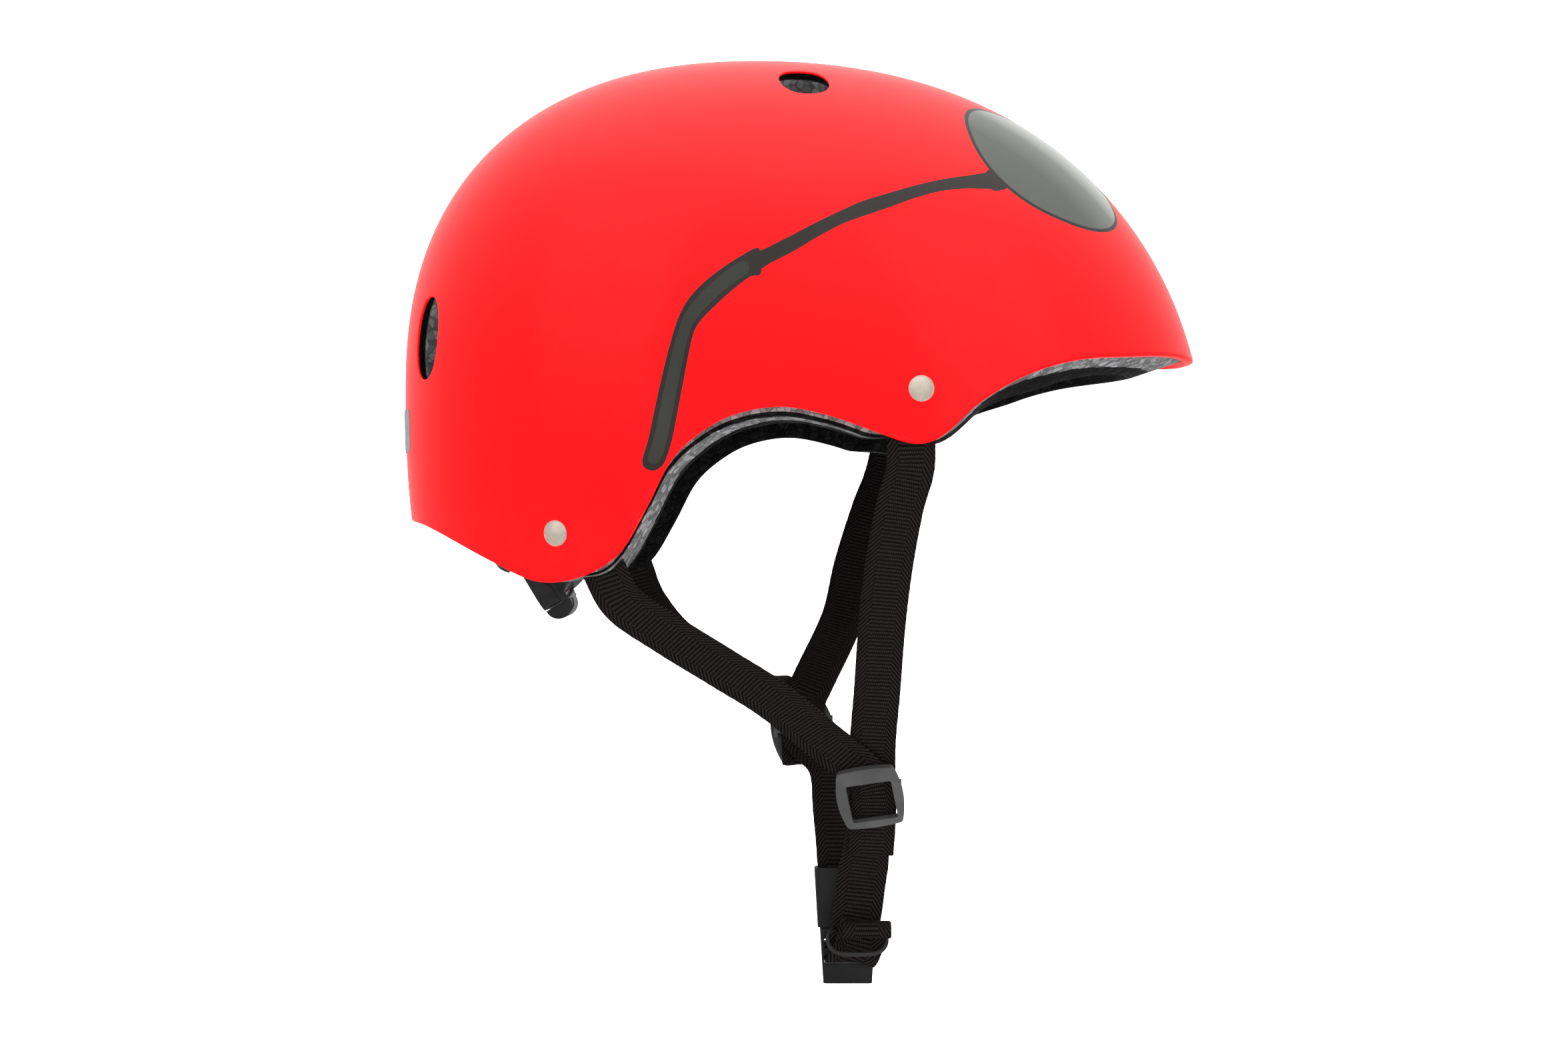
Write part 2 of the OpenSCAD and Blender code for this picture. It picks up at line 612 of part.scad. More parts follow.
// A plate standing in the cradle's own plane, from x_0 and t thick, with rounded corners
module slab(x_0, t, w, z_0, z_1, r) {
  translate([x_0 + t, 0, 0]) rotate([0, -90, 0])
    linear_extrude(t) offset(r) offset(-r) translate([z_0, -w / 2]) square([z_1 - z_0, w]);
}

module dial_housing() {
  color([0.05, 0.05, 0.05])
  at_cradle() difference() {
    slab(0, 6.4, housing_w, -30.5, 12, 5);
    translate([2.4, -housing_w / 2 - 1, -9.2]) cube([5, housing_w + 2, 18.4]);
    translate([1.8, -16, -27]) cube([6, 32, 14]);
    translate([-1, 0, 0]) rotate([0, 90, 0]) cylinder(r = 5.05, h = 5);
  }
}
module fit_yoke() {
  arm = [[7.8, 18, -24], [10, 27, -23.5], [17, 40, -20.5], [28, 54, -15.5], [38.5, 65, -10.5]];
  color([0.05, 0.05, 0.05]) {
    at_cradle() difference() {
      union() {
        slab(6.5, 2.5, housing_w, -31, 12, 5);
        translate([4.5, 0, -31.2]) rotate([90, 0, 0]) linear_extrude(30, center = true)
          intersection() { circle(4.5); translate([-5, -5]) square([10, 5.4]); }
      }
      translate([3, 0, 0]) rotate([0, 90, 0]) cylinder(r = 1.55, h = 10);
    }
    for (side = [right, left])
      webbing(
        [for (p = smooth_line(arm)) cradle_point([p[0], side * p[1], p[2]])],
        [-0.8, side * 0.4, -0.5], [-0.4, side, -0.1], 1, 9, 2
      );
  }
}
module yoke_pins() {
  color("dimgray")
  for (side = [right, left])
    translate(cradle_point([37, side * 63.5, -11.2])) rotate([side * -90, 0, 0]) {
      cylinder(r = 1.5, h = 13);
      translate([0, 0, -1.4]) cylinder(r = 3, h = 1.5);
    }
}
module nape_pad() {
  color([0.08, 0.07, 0.07]) at_cradle() slab(9.2, 3, 38, -29, 10, 6);
}
module click_spring() {
  color("silver")
  at_cradle() translate([-1.3, 0, 0]) rotate([0, 90, 0]) difference() {
    cylinder(r = 9.6, h = 1.2);
    translate([0, 0, -1]) cylinder(r = 7.4, h = 4);
    translate([-12, -2, -1]) cube([24, 4, 4]);
  }
}
module fit_dial() {
  grips = 24;
  color([0.08, 0.08, 0.08])
  at_cradle() rotate([0, -90, 0]) {
    difference() {
      union() {
        translate([0, 0, 0.4]) cylinder(r = dial_r - 0.7, h = 5.6);
        translate([0, 0, 6]) cylinder(r1 = dial_r - 0.7, r2 = dial_r - 2.2, h = 1);
        for (a = [0:360 / grips:359])
          rotate(a) translate([dial_r - 0.9, 0, 0.4]) cylinder(r = 0.9, h = 5.2, $fn = 16);
      }
      translate([0, 0, -1]) cylinder(r = dial_r - 2.4, h = 4.2);
    }
    translate([0, 0, -2.3]) cylinder(r = 5, h = 6);
    translate([0, 0, -8.6]) cylinder(r = 1.5, h = 7);
  }
}
// A straight-sided tooth: half widths at the root and at the tip
tooth_root = 0.62;
tooth_tip = 0.22;
tooth_in = 0.85;
tooth_out = 0.62;
module drive_pinion() {
  color("white")
  at_cradle() translate([rack_x - 0.2, 0, 0]) rotate([0, 90, 0]) difference() {
    union() {
      cylinder(r = pitch_r - tooth_in + 0.05, h = rack_t + 0.4);
      for (i = [0:pinion_teeth - 1]) rotate((i + 0.5) * 360 / pinion_teeth)
        linear_extrude(rack_t + 0.4)
          polygon([
            [pitch_r - tooth_in - 0.3, -tooth_root], [pitch_r + tooth_out, -tooth_tip],
            [pitch_r + tooth_out, tooth_tip], [pitch_r - tooth_in - 0.3, tooth_root]
          ]);
    }
    translate([0, 0, -1]) cylinder(r = 1.5, h = rack_t + 3);
  }
}
// A band: a toothed bar on one side of the pinion and a curved arm round the back of the head
module fit_band(side) {
  pitch = PI * tooth_module;
  up = side == left ? 1 : -1;
  arm = [[4.3, 21, 6.3], [4.4, 31.5, 6], [9, 38.5, 5], [16, 44.5, 4], [26, 52, 2.4], [37, 58.5, 1]];
  color([0.35, 0.36, 0.38]) {
    at_cradle() translate([rack_x, 0, 0]) rotate([90, 0, 90])
      linear_extrude(rack_t) {
        translate([side > 0 ? -12 : -23, up > 0 ? pitch_r + tooth_in : -pitch_r - tooth_in - 2.6])
          square([35, 2.6]);
        for (i = [-4:5]) translate([-side * pitch * i + side * 2, up * pitch_r])
          polygon([
            [-tooth_root, up * (tooth_in + 0.1)], [-tooth_tip, -up * tooth_out],
            [tooth_tip, -up * tooth_out], [tooth_root, up * (tooth_in + 0.1)]
          ]);
      }
    webbing(
      [for (p = smooth_line(arm)) cradle_point([p[0], side * p[1], up * p[2]])],
      [-0.8, 0, -0.5], [-0.3, side, -0.2], 1, 5, 2
    );
  }
}
module right_fit_band() { fit_band(right); }
module left_fit_band() { fit_band(left); }

outer_shell();
eps_liner();
rear_badge();
crown_pad();
brow_pad();
nape_pad();
right_temple_pad();
left_temple_pad();
right_rear_pad();
left_rear_pad();
hook_dots();
front_rivets();
rear_rivets();
rivet_washers();
right_front_strap();
left_front_strap();
right_rear_strap();
left_rear_strap();
strap_tail();
right_slider();
left_slider();
keeper_ring();
buckle_socket();
buckle_plug();
front_prong();
rear_prong();
fit_yoke();
yoke_pins();
dial_housing();
click_spring();
fit_dial();
drive_pinion();
right_fit_band();
left_fit_band();
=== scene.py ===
# Child's hard-shell helmet. Lengths are worked out in millimetres and written in metres.
import bpy, bmesh, math
import numpy as np
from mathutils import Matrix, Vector
from mathutils.geometry import delaunay_2d_cdt


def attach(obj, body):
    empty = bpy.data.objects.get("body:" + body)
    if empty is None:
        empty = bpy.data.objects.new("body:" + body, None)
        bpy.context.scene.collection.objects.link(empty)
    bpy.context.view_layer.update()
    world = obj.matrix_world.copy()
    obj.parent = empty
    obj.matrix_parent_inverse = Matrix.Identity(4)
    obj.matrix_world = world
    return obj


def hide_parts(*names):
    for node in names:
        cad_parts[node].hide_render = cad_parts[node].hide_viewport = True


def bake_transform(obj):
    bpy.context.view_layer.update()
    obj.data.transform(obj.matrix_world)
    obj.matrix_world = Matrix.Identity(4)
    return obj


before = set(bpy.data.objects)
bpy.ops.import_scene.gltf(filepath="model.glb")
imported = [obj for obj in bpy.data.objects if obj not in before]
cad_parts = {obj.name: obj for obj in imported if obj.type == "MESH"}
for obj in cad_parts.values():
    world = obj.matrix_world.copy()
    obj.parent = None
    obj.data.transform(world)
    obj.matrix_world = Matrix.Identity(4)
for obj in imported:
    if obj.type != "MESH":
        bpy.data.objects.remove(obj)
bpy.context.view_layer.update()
scene = bpy.context.scene
RIGHT, LEFT = -1, 1

# --- The shell's surface, as in the CAD
SHELL_FRONT, SHELL_REAR, SHELL_SIDE, CROWN_Z, SHELL_T = 149.2, 118.0, 100.0, 103.0, 3.0
FOAM_CROWN, FOAM_SIDE, FOAM_REAR, FOAM_FRONT, PAD_T = 22.0, 17.0, 19.0, 29.0, 6.0
CROWN_X, PLAN_POWER, SKIN = -8.0, 2.2, 3.3
FOAM_DROP, FOAM_INSET, FOAM_LIP, FOAM_SHIFT = 2.3, 0.6, 4.5, 3.0
# The dome's profile at the front, the side and the rear: its power, its widest height, its depth below that
DOME_POWER, WAIST_Z, BELOW_WAIST = (2.22, 2.35, 2.37), (-40, -10, -7), (134, 190, 160)
RIM_LINE = np.array([
    [-127, -49], [-115, -51.5], [-91, -62.6], [-79, -67.8], [-70, -68.5], [-60, -65.8], [-50, -58.8],
    [-42, -45.4], [-35, -32], [-27, -24], [-16, -17.7], [-1, -15], [14, -17.7], [28, -22.5], [40, -26.1],
    [48, -24], [60, -13.5], [75, -4.7], [92, 0.6], [110, 2.5], [128, 3.6], [142, 2]])
# Each vent: direction and height of its middle, length and width
VENTS = [[0, 44, 29, 17], [0, 97, 22, 15], [180, 98, 19, 15], [75, 90.4, 18, 15], [-75, 90.4, 18, 15],
         [156, 9, 26, 16], [-156, 9, 26, 16]]
FRONT_RIVET, REAR_RIVET = [62.6, -9.3], [125.7, -53.3]
EDGE_STEPS = 6  # rows of points round each rounded edge of the shell and the liner


def arr(*v):
    return [np.asarray(x, float) for x in v]


def cosd(a):
    return np.cos(np.radians(a))


def sind(a):
    return np.sin(np.radians(a))


def unit(v):
    v = np.asarray(v, float)
    return v / np.maximum(np.linalg.norm(v, axis=-1, keepdims=True), 1e-12)


def soft(t):
    u = np.clip(t, 0, 1)
    return u * u * (3 - 2 * u)


def squared(c, power):
    """A sine or cosine pushed out towards 1, as a superellipse needs."""
    return np.sign(c) * np.abs(c) ** power


def full_turn(n):
    return np.arange(n) * 2 * math.pi / n


def hermite(b, c, m, q, t):
    """The point at t of a curve that leaves b along m and reaches c along q."""
    s = 1 - t
    return b * (1 + 2 * t) * s ** 2 + c * t * t * (3 - 2 * t) + m * t * s ** 2 - q * t * t * s


def by_side(az, front, side, rear):
    """A value that turns smoothly from front to side to rear."""
    c = cosd(az)
    return side + (np.where(c >= 0, front, rear) - side) * c * c


def plan_radius(az):
    reach = np.where(cosd(az) >= 0, SHELL_FRONT, SHELL_REAR)
    p = PLAN_POWER
    return (np.abs(cosd(az) / reach) ** p + np.abs(sind(az) / SHELL_SIDE) ** p) ** (-1 / p)


def dome(az, pol):
    az, pol = arr(az, pol)
    p = 2 / by_side(az, *DOME_POWER)
    w = by_side(az, *WAIST_Z)
    below = by_side(az, *BELOW_WAIST)
    c = cosd(pol)
    z = np.where(c >= 0, w + (CROWN_Z - w) * np.abs(c) ** p, w - below * np.abs(c) ** p)
    r = plan_radius(az) * np.maximum(sind(pol), 0) ** p
    return np.stack([CROWN_X + r * cosd(az), r * sind(az), z], -1)


def dome_normal(az, pol):
    az, pol = np.broadcast_arrays(*arr(az, pol))
    q = np.maximum(pol, 2)
    n = unit(np.cross(dome(az, q + 0.5) - dome(az, q - 0.5), dome(az + 0.5, q) - dome(az - 0.5, q)))
    near = np.clip(pol / 3, 0, 1)[..., None]
    return unit(n * near + np.array([0, 0, 1.0]) * (1 - near))


def under(az, pol, depth):
    """Points at a depth under the shell's outer face, square to it."""
    return dome(az, pol) - np.asarray(depth)[..., None] * dome_normal(az, pol)


def pol_at(az, z):
    """The angle from the crown at which the outer face is at height z."""
    az, z = arr(az, z)
    w = by_side(az, *WAIST_Z)
    f = by_side(az, *DOME_POWER) / 2
    below = by_side(az, *BELOW_WAIST)
    up = np.clip((z - w) / (CROWN_Z - w), 0, 1) ** f
    down = -np.clip((w - z) / below, 0, 1) ** f
    return np.degrees(np.arccos(np.where(z >= w, up, down)))


def rim_z(x):
    """Height of the shell's lower rim, seen from the side."""
    X, Z = RIM_LINE[:, 0], RIM_LINE[:, 1]
    n = len(X)
    i0, i1 = np.maximum(np.arange(n) - 1, 0), np.minimum(np.arange(n) + 1, n - 1)
    slope = (Z[i1] - Z[i0]) / (X[i1] - X[i0])
    u = np.clip(x, X[0], X[-1] - 0.01)
    i = np.clip(np.searchsorted(X, u, side="right") - 1, 0, n - 2)
    h = X[i + 1] - X[i]
    t = (u - X[i]) / h
    return hermite(Z[i], Z[i + 1], h * slope[i], h * slope[i + 1], t)


def rim_angle(az, depth, drop=0.0, shift=0.0):
    """The angle from the crown at which a layer at this depth meets the rim line."""
    az = np.asarray(az, float)
    lo, hi = np.full(az.shape, 35.0), np.full(az.shape, 140.0)
    for _ in range(30):
        mid = (lo + hi) / 2
        p = under(az, mid, depth)
        above = p[..., 2] > rim_z(p[..., 0] - shift) - drop
        lo, hi = np.where(above, mid, lo), np.where(above, hi, mid)
    return (lo + hi) / 2


def foam_wall(az, u):
    """Depth of the foam's inner face at the fraction u of the way down."""
    side = by_side(az, FOAM_FRONT, FOAM_SIDE, FOAM_REAR)
    bevel = by_side(az, 11, 2, 4)
    return (SHELL_T + FOAM_CROWN + (side - FOAM_CROWN) * soft(np.asarray(u) * 1.5)
            - bevel * np.clip((np.asarray(u) - 0.82) / 0.18, 0, None) ** 1.6)


FINE_AZ = np.arange(0, 360, 1.0)
_off = np.minimum(FINE_AZ, 360 - FINE_AZ)  # degrees off straight ahead
_ear = soft((_off - 64) / 8) * (1 - soft((_off - 117) / 8))
_brow = 1 - soft((_off - 38) / 14)
_foam_rim = rim_angle(FINE_AZ, foam_wall(FINE_AZ, 1.0),
                      FOAM_LIP * (0.05 + 0.95 * np.maximum(_ear, _brow)), FOAM_SHIFT)
_shell_rim = rim_angle(FINE_AZ, 0.0)
_skin_rim = rim_angle(FINE_AZ, SKIN, (FOAM_DROP + FOAM_INSET) * _ear - FOAM_INSET)


def around(table, az):
    return np.interp(np.mod(az, 360), np.append(FINE_AZ, 360), np.append(table, table[0]))


def foam_inside(az, u, deeper=0.0):
    az, u = arr(az, u)
    return under(az, u * around(_foam_rim, az), foam_wall(az, u) + deeper)


# Surfaces as functions of a flat chart q: distance from the crown and direction
def polar(q):
    return np.degrees(np.arctan2(q[..., 1], q[..., 0])), np.hypot(q[..., 0], q[..., 1])


def chart(az, r):
    az, r = arr(az, r)
    return np.stack([r * cosd(az), r * sind(az)], -1)


def layer(depth):
    return lambda q: under(*polar(q), depth)


def foam_face(q):
    az, r = polar(q)
    return foam_inside(az, r / 100)


def slope_of(S, q, h=0.05):
    dx, dy = np.array([h, 0]), np.array([0, h])
    return (S(q + dx) - S(q - dx)) / (2 * h), (S(q + dy) - S(q - dy)) / (2 * h)


def shifted(S, q, move):
    a, b = slope_of(S, q)
    J = np.stack([a, b], -1)
    return q + np.einsum("nij,nj->ni", np.linalg.pinv(J), move)


def dropped(S, P, n, q0):
    """The chart points where lines through P along n meet the surface S."""
    q = np.tile(np.asarray(q0, float), (len(P), 1)) if np.ndim(q0) == 1 else q0.copy()
    t = np.zeros(len(P))
    for _ in range(14):
        F = S(q) - P - t[:, None] * n
        a, b = slope_of(S, q)
        J = np.stack([a, b, -np.tile(n, (len(P), 1))], -1)
        step = np.linalg.solve(J, F[..., None])[..., 0]
        q, t = q - np.clip(step[:, :2], -6, 6), t - step[:, 2]
    return q


def in_polygon(pts, poly):
    x, y = pts[:, 0], pts[:, 1]
    inside = np.zeros(len(pts), bool)
    for (x0, y0), (x1, y1) in zip(poly, np.roll(poly, -1, 0)):
        cross = (y0 > y) != (y1 > y)
        with np.errstate(divide="ignore", invalid="ignore"):
            inside ^= cross & (x < (x1 - x0) * (y - y0) / (y1 - y0 + 1e-30) + x0)
    return inside


def far_from(pts, loops, gap):
    keep = np.ones(len(pts), bool)
    for loop in loops:
        for s in range(0, len(loop), 64):
            d = np.linalg.norm(pts[:, None] - loop[None, s:s + 64], axis=-1).min(1)
            keep &= d > gap
    return keep


def triangulate(edge, holes, lines, spacing, gap):
    """Chart points and triangles inside edge, outside holes, following lines."""
    reach = np.abs(edge).max() + spacing
    across = np.arange(-reach, reach, spacing)
    rows = np.arange(-reach, reach, spacing * 0.866)  # the height of a triangle with equal sides
    grid = np.concatenate([np.stack([across + (k % 2) * spacing / 2, np.full(len(across), y)], -1)
                           for k, y in enumerate(rows)])
    grid = grid[in_polygon(grid, edge)]
    for hole in holes:
        grid = grid[~in_polygon(grid, hole)]
    grid = grid[far_from(grid, [edge] + holes, gap)]
    grid = grid[far_from(grid, lines, gap * 0.35)]
    loops = [edge] + holes + lines
    pts = np.concatenate(loops + [grid])
    edges, start, spans = [], 0, []
    for loop in loops:
        n = len(loop)
        edges += [(start + i, start + (i + 1) % n) for i in range(n)]
        spans.append((start, n))
        start += n
    out = delaunay_2d_cdt([Vector(p) for p in pts], edges, [], 0, 1e-6, True)
    verts = np.array([tuple(v) for v in out[0]])
    tris = np.array([f for f in out[2] if len(f) == 3])
    centre = verts[tris].mean(1)
    keep = in_polygon(centre, edge)
    for hole in holes:
        keep &= ~in_polygon(centre, hole)
    tris = tris[keep]
    where = {}
    for i, origins in enumerate(out[3]):
        for o in origins:
            where[o] = i
    index = [np.array([where[s + i] for i in range(n)]) for s, n in spans[:1 + len(holes)]]
    a, b, c = verts[tris[:, 0]], verts[tris[:, 1]], verts[tris[:, 2]]
    flip = ((b - a)[:, 0] * (c - a)[:, 1] - (b - a)[:, 1] * (c - a)[:, 0]) < 0
    tris[flip] = tris[flip][:, ::-1]
    return verts, tris, index


# --- Meshes and materials
def make(name, verts, faces, mats, which=None, normals=None, uv=None):
    mesh = bpy.data.meshes.new(name)
    mesh.from_pydata([tuple(v) for v in np.asarray(verts) * 0.001], [], [tuple(map(int, f)) for f in faces])
    for m in mats if isinstance(mats, list) else [mats]:
        mesh.materials.append(m)
    if which is not None:
        mesh.polygons.foreach_set("material_index", np.asarray(which, np.int32))
    mesh.polygons.foreach_set("use_smooth", np.full(len(mesh.polygons), True))
    if uv is not None:
        layer_ = mesh.uv_layers.new(name="weave")
        loops = np.zeros(len(mesh.loops), np.int32)
        mesh.loops.foreach_get("vertex_index", loops)
        layer_.data.foreach_set("uv", np.asarray(uv, np.float32)[loops].ravel())
    mesh.update()
    if normals is not None:
        mesh.normals_split_custom_set_from_vertices([tuple(n) for n in normals])
    obj = bpy.data.objects.new(name, mesh)
    scene.collection.objects.link(obj)
    return obj


def apply(obj):
    """Turns the object's modifiers into its mesh, keeping its materials."""
    mesh = bpy.data.meshes.new_from_object(obj.evaluated_get(bpy.context.evaluated_depsgraph_get()))
    mats = list(obj.data.materials)
    obj.modifiers.clear()
    obj.data = mesh
    if not mesh.materials:
        for m in mats:
            mesh.materials.append(m)
    mesh.polygons.foreach_set("use_smooth", np.full(len(mesh.polygons), True))
    mesh.update()


def sharpen(obj, angle):
    obj.data.set_sharp_from_angle(angle=math.radians(angle))


def fix_normals(obj):
    bm = bmesh.new()
    bm.from_mesh(obj.data)
    bmesh.ops.recalc_face_normals(bm, faces=bm.faces)
    bm.to_mesh(obj.data)
    bm.free()


def tube_faces(rings, points, start=0, closed=False):
    """Quads between neighbouring rings of points; closed joins the last ring to the first."""
    faces = []
    for i in range(rings if closed else rings - 1):
        a, b = start + i * points, start + (i + 1) % rings * points
        for k in range(points):
            l = (k + 1) % points
            faces.append((a + k, a + l, b + l, b + k))
    return faces


def principled(name, constants):
    m = bpy.data.materials.new(name)
    m.use_nodes = True
    for socket, value in constants.items():
        m.node_tree.nodes["Principled BSDF"].inputs[socket].default_value = value
    return m


def material(name, colour, rough, specular=0.5, metal=0.0, sheen=0.0):
    constants = {"Base Color": (*colour, 1), "Roughness": rough, "Specular IOR Level": specular,
                 "Metallic": metal}
    if sheen:
        constants.update({"Sheen Weight": sheen, "Sheen Roughness": 0.5})
    return principled(name, constants)


class Nodes:
    """Short ways to add nodes to a material."""
    def __init__(self, m):
        self.tree = m.node_tree
        self.shader = self.tree.nodes["Principled BSDF"]

    def new(self, kind, inputs=(), **settings):
        node = self.tree.nodes.new("ShaderNode" + kind)
        for k, v in settings.items():
            setattr(node, k, v)
        for k, v in dict(inputs).items():
            self.put(node.inputs[k], v)
        return node

    def put(self, socket, value):
        if hasattr(value, "is_output"):
            self.tree.links.new(value, socket)
        else:
            socket.default_value = value

    def math(self, op, a, b=0.0):
        n = self.new("Math", operation=op)
        for s, v in zip(n.inputs, (a, b)):
            self.put(s, v)
        return n.outputs[0]

    def add(self, a, b):
        return self.math("ADD", a, b)

    def times(self, a, b):
        return self.math("MULTIPLY", a, b)

    def wave(self, x, power=1.0, turns=1):
        """Humps of height 1, one for each unit of x; a low power makes them fuller."""
        humps = self.math("ABSOLUTE", self.math("SINE", self.times(x, turns * math.pi)))
        return humps if power == 1 else self.math("POWER", humps, power)

    def object_space(self):
        return self.new("TexCoord").outputs["Object"]

    def noise(self, scale, detail=2.0, rough=0.5):
        return self.new("TexNoise", {"Vector": self.object_space(), "Scale": scale, "Detail": detail,
                                     "Roughness": rough}).outputs["Fac"]

    def ramp(self, fac, stops):
        n = self.new("ValToRGB", {"Fac": fac})
        el = n.color_ramp.elements
        while len(el) < len(stops):
            el.new(0.5)
        for e, (pos, col) in zip(el, stops):
            e.position = pos
            e.color = (*col, 1) if len(col) == 3 else col
        return n.outputs["Color"]

    def span(self, fac, lo, hi, a=0.0, b=1.0):
        return self.new("MapRange", {"Value": fac, "From Min": lo, "From Max": hi, "To Min": a,
                                     "To Max": b}).outputs["Result"]

    def bump(self, height, distance, strength=1.0, after=None):
        n = self.new("Bump", {"Height": height, "Distance": distance, "Strength": strength})
        if after is not None:
            self.put(n.inputs["Normal"], after)
        return n.outputs["Normal"]

    def finish(self, drift, tones, wear, roughs, grain, depth, strength):
        """Colour that drifts between two tones, uneven gloss and a fine surface grain."""
        self.colour(self.ramp(self.noise(*drift), tones))
        self.rough(self.span(self.noise(*wear, 0.7), 0.3, 0.75, *roughs))
        self.normal(self.bump(self.noise(*grain), depth, strength))

    def colour(self, socket):
        self.put(self.shader.inputs["Base Color"], socket)

    def rough(self, socket):
        self.put(self.shader.inputs["Roughness"], socket)

    def normal(self, socket):
        self.put(self.shader.inputs["Normal"], socket)


def gloss_paint(name, a, b, rough=0.1, specular=0.4):
    """Moulded glossy surface: faint colour drift, a trace of orange peel and fine handling marks."""
    m = material(name, a, rough, specular)
    Nodes(m).finish((14, 3), [(0.35, a), (0.65, b)], (260, 6), (rough * 0.75, rough * 1.5),
                    (330, 1), 0.00012, 0.22)
    return m


def painted_sheen_lens(name):
    """Printed dark lens with a painted reflection: pale beside the nose, darker towards the temple."""
    m = material(name, (0.085, 0.1, 0.078), 0.1, 0.4)
    n = Nodes(m)
    off_middle = n.math("ABSOLUTE", n.new("SeparateXYZ", {"Vector": n.object_space()}).outputs["Y"])
    # The colour is partly the print's dark grey and partly a painted reflection that pales it towards the
    # middle plane, beside the nose.
    n.colour(n.ramp(n.span(off_middle, 0.018, 0.06), [
        (0.1, (0.62, 0.63, 0.61)), (0.3, (0.32, 0.33, 0.31)), (0.55, (0.12, 0.125, 0.113)),
        (0.85, (0.066, 0.071, 0.062))]))
    n.rough(n.span(n.noise(260, 6, 0.7), 0.3, 0.75, 0.075, 0.15))
    return m


red = gloss_paint("red_gloss", (0.95, 0.001, 0.0025), (0.99, 0.0018, 0.0035), 0.09, 0.34)
lens_ink_and_sheen = painted_sheen_lens("lens_print_and_painted_sheen")
rim_grey = gloss_paint("rim_print", (0.013, 0.0105, 0.0098), (0.017, 0.0135, 0.0125))
tip_grey = gloss_paint("tip_print", (0.02, 0.0205, 0.017), (0.026, 0.0265, 0.022))
sticker = gloss_paint("sticker_grey", (0.2, 0.2, 0.21), (0.25, 0.25, 0.26), 0.3)


def bead_foam(name, tones=(0.06, 0.11, 0.19), seam=0.055, specular=0.3):
    """Expanded beads: cells a few millimetres across, each its own grey, pressed edges between."""
    m = material(name, (0.05, 0.05, 0.052), 0.6, specular)
    n = Nodes(m)
    where = n.object_space()
    warp = n.new("TexNoise", {"Vector": where, "Scale": 180.0, "Detail": 1.0}).outputs["Color"]
    mixed = n.new("VectorMath", {0: warp, 1: (0.0016, 0.0016, 0.0016)}, operation="MULTIPLY").outputs[0]
    spot = n.new("VectorMath", {0: where, 1: mixed}, operation="ADD").outputs[0]
    cell = n.new("TexVoronoi", {"Vector": spot, "Scale": 430.0}, feature="F1")
    edge = n.new("TexVoronoi", {"Vector": spot, "Scale": 430.0}, feature="DISTANCE_TO_EDGE").outputs["Distance"]
    grain = n.new("SeparateColor", {"Color": cell.outputs["Color"]}).outputs[0]
    shade = n.ramp(grain, [(p, (t, t, t * 1.03)) for p, t in zip((0.0, 0.5, 1.0), tones)])
    gap = n.span(edge, 0.0, 0.09)
    both = n.new("Mix", {"Factor": gap}, data_type="RGBA", clamp_factor=True)
    n.put(both.inputs[6], (seam, seam, seam, 1))  # the mix node's two colours are its sockets 6 and 7
    n.put(both.inputs[7], shade)
    n.colour(both.outputs[2])
    n.rough(n.span(grain, 0, 1, 0.3, 0.62))
    n.normal(n.bump(n.math("POWER", n.span(edge, 0, 0.16), 0.5), 0.00022, 0.7,
                    n.bump(n.noise(900, 3), 0.0001, 0.5)))
    return m


def woven(name):
    """Harness webbing: rows of short floats in the middle and a slanting twill band along each edge."""
    m = material(name, (0.02, 0.016, 0.016), 0.65, 0.12)
    n = Nodes(m)
    uv = n.new("UVMap", uv_map="weave").outputs["UV"]
    xyz = n.new("SeparateXYZ", {"Vector": uv})
    u, v = xyz.outputs["X"], xyz.outputs["Y"]
    row_pitch, float_pitch, twill_pitch, twill_lean, selvedge = 1.4, 0.72, 1.7, 1.25, 4.0  # millimetres
    off = n.math("ABSOLUTE", u)
    row = n.times(v, 1 / row_pitch)
    odd = n.times(n.math("MODULO", n.math("FLOOR", row), 2.0), 0.5)
    ridge = n.wave(row, 0.55)
    floats = n.wave(n.add(n.times(u, 1 / float_pitch), odd), 0.5)
    middle = n.times(ridge, n.add(n.times(floats, 0.55), 0.45))
    twill = n.wave(n.add(n.times(v, 1 / twill_pitch), n.times(off, -1 / twill_lean)), 0.6)
    thread = n.wave(n.add(row, n.times(off, 1.3)), turns=2)
    edge = n.times(twill, n.add(n.times(thread, 0.3), 0.7))
    at_edge = n.span(off, selvedge - 0.1, selvedge + 0.1)
    mixed = n.add(n.times(middle, n.math("SUBTRACT", 1.0, at_edge)), n.times(edge, at_edge))
    fuzz = n.noise(1500, 2, 0.7)
    height = n.add(mixed, n.times(fuzz, 0.3))
    # The colour follows the weave's height: painted shade in the hollows between threads and painted highlight
    # on the thread tops.
    n.colour(n.ramp(height, [(0.25, (0.0006, 0.0005, 0.0005)), (0.8, (0.0032, 0.0025, 0.0024)),
                             (1.0, (0.0125, 0.01, 0.0095))]))
    n.rough(n.span(fuzz, 0.3, 0.7, 0.5, 0.75))
    n.normal(n.bump(height, 0.00032, 1.0))
    return m


def moulded(name, colour, rough, specular=0.45, grain=0.00006, size=1400):
    """Injection-moulded plastic: fine spark texture, slightly shinier and paler where it rubs."""
    m = material(name, colour, rough, specular)
    lift = tuple(c * 1.35 for c in colour)
    Nodes(m).finish((90, 4), [(0.35, colour), (0.7, lift)], (420, 5), (rough * 0.85, min(1, rough * 1.2)),
                    (size, 2), grain, 0.6)
    return m


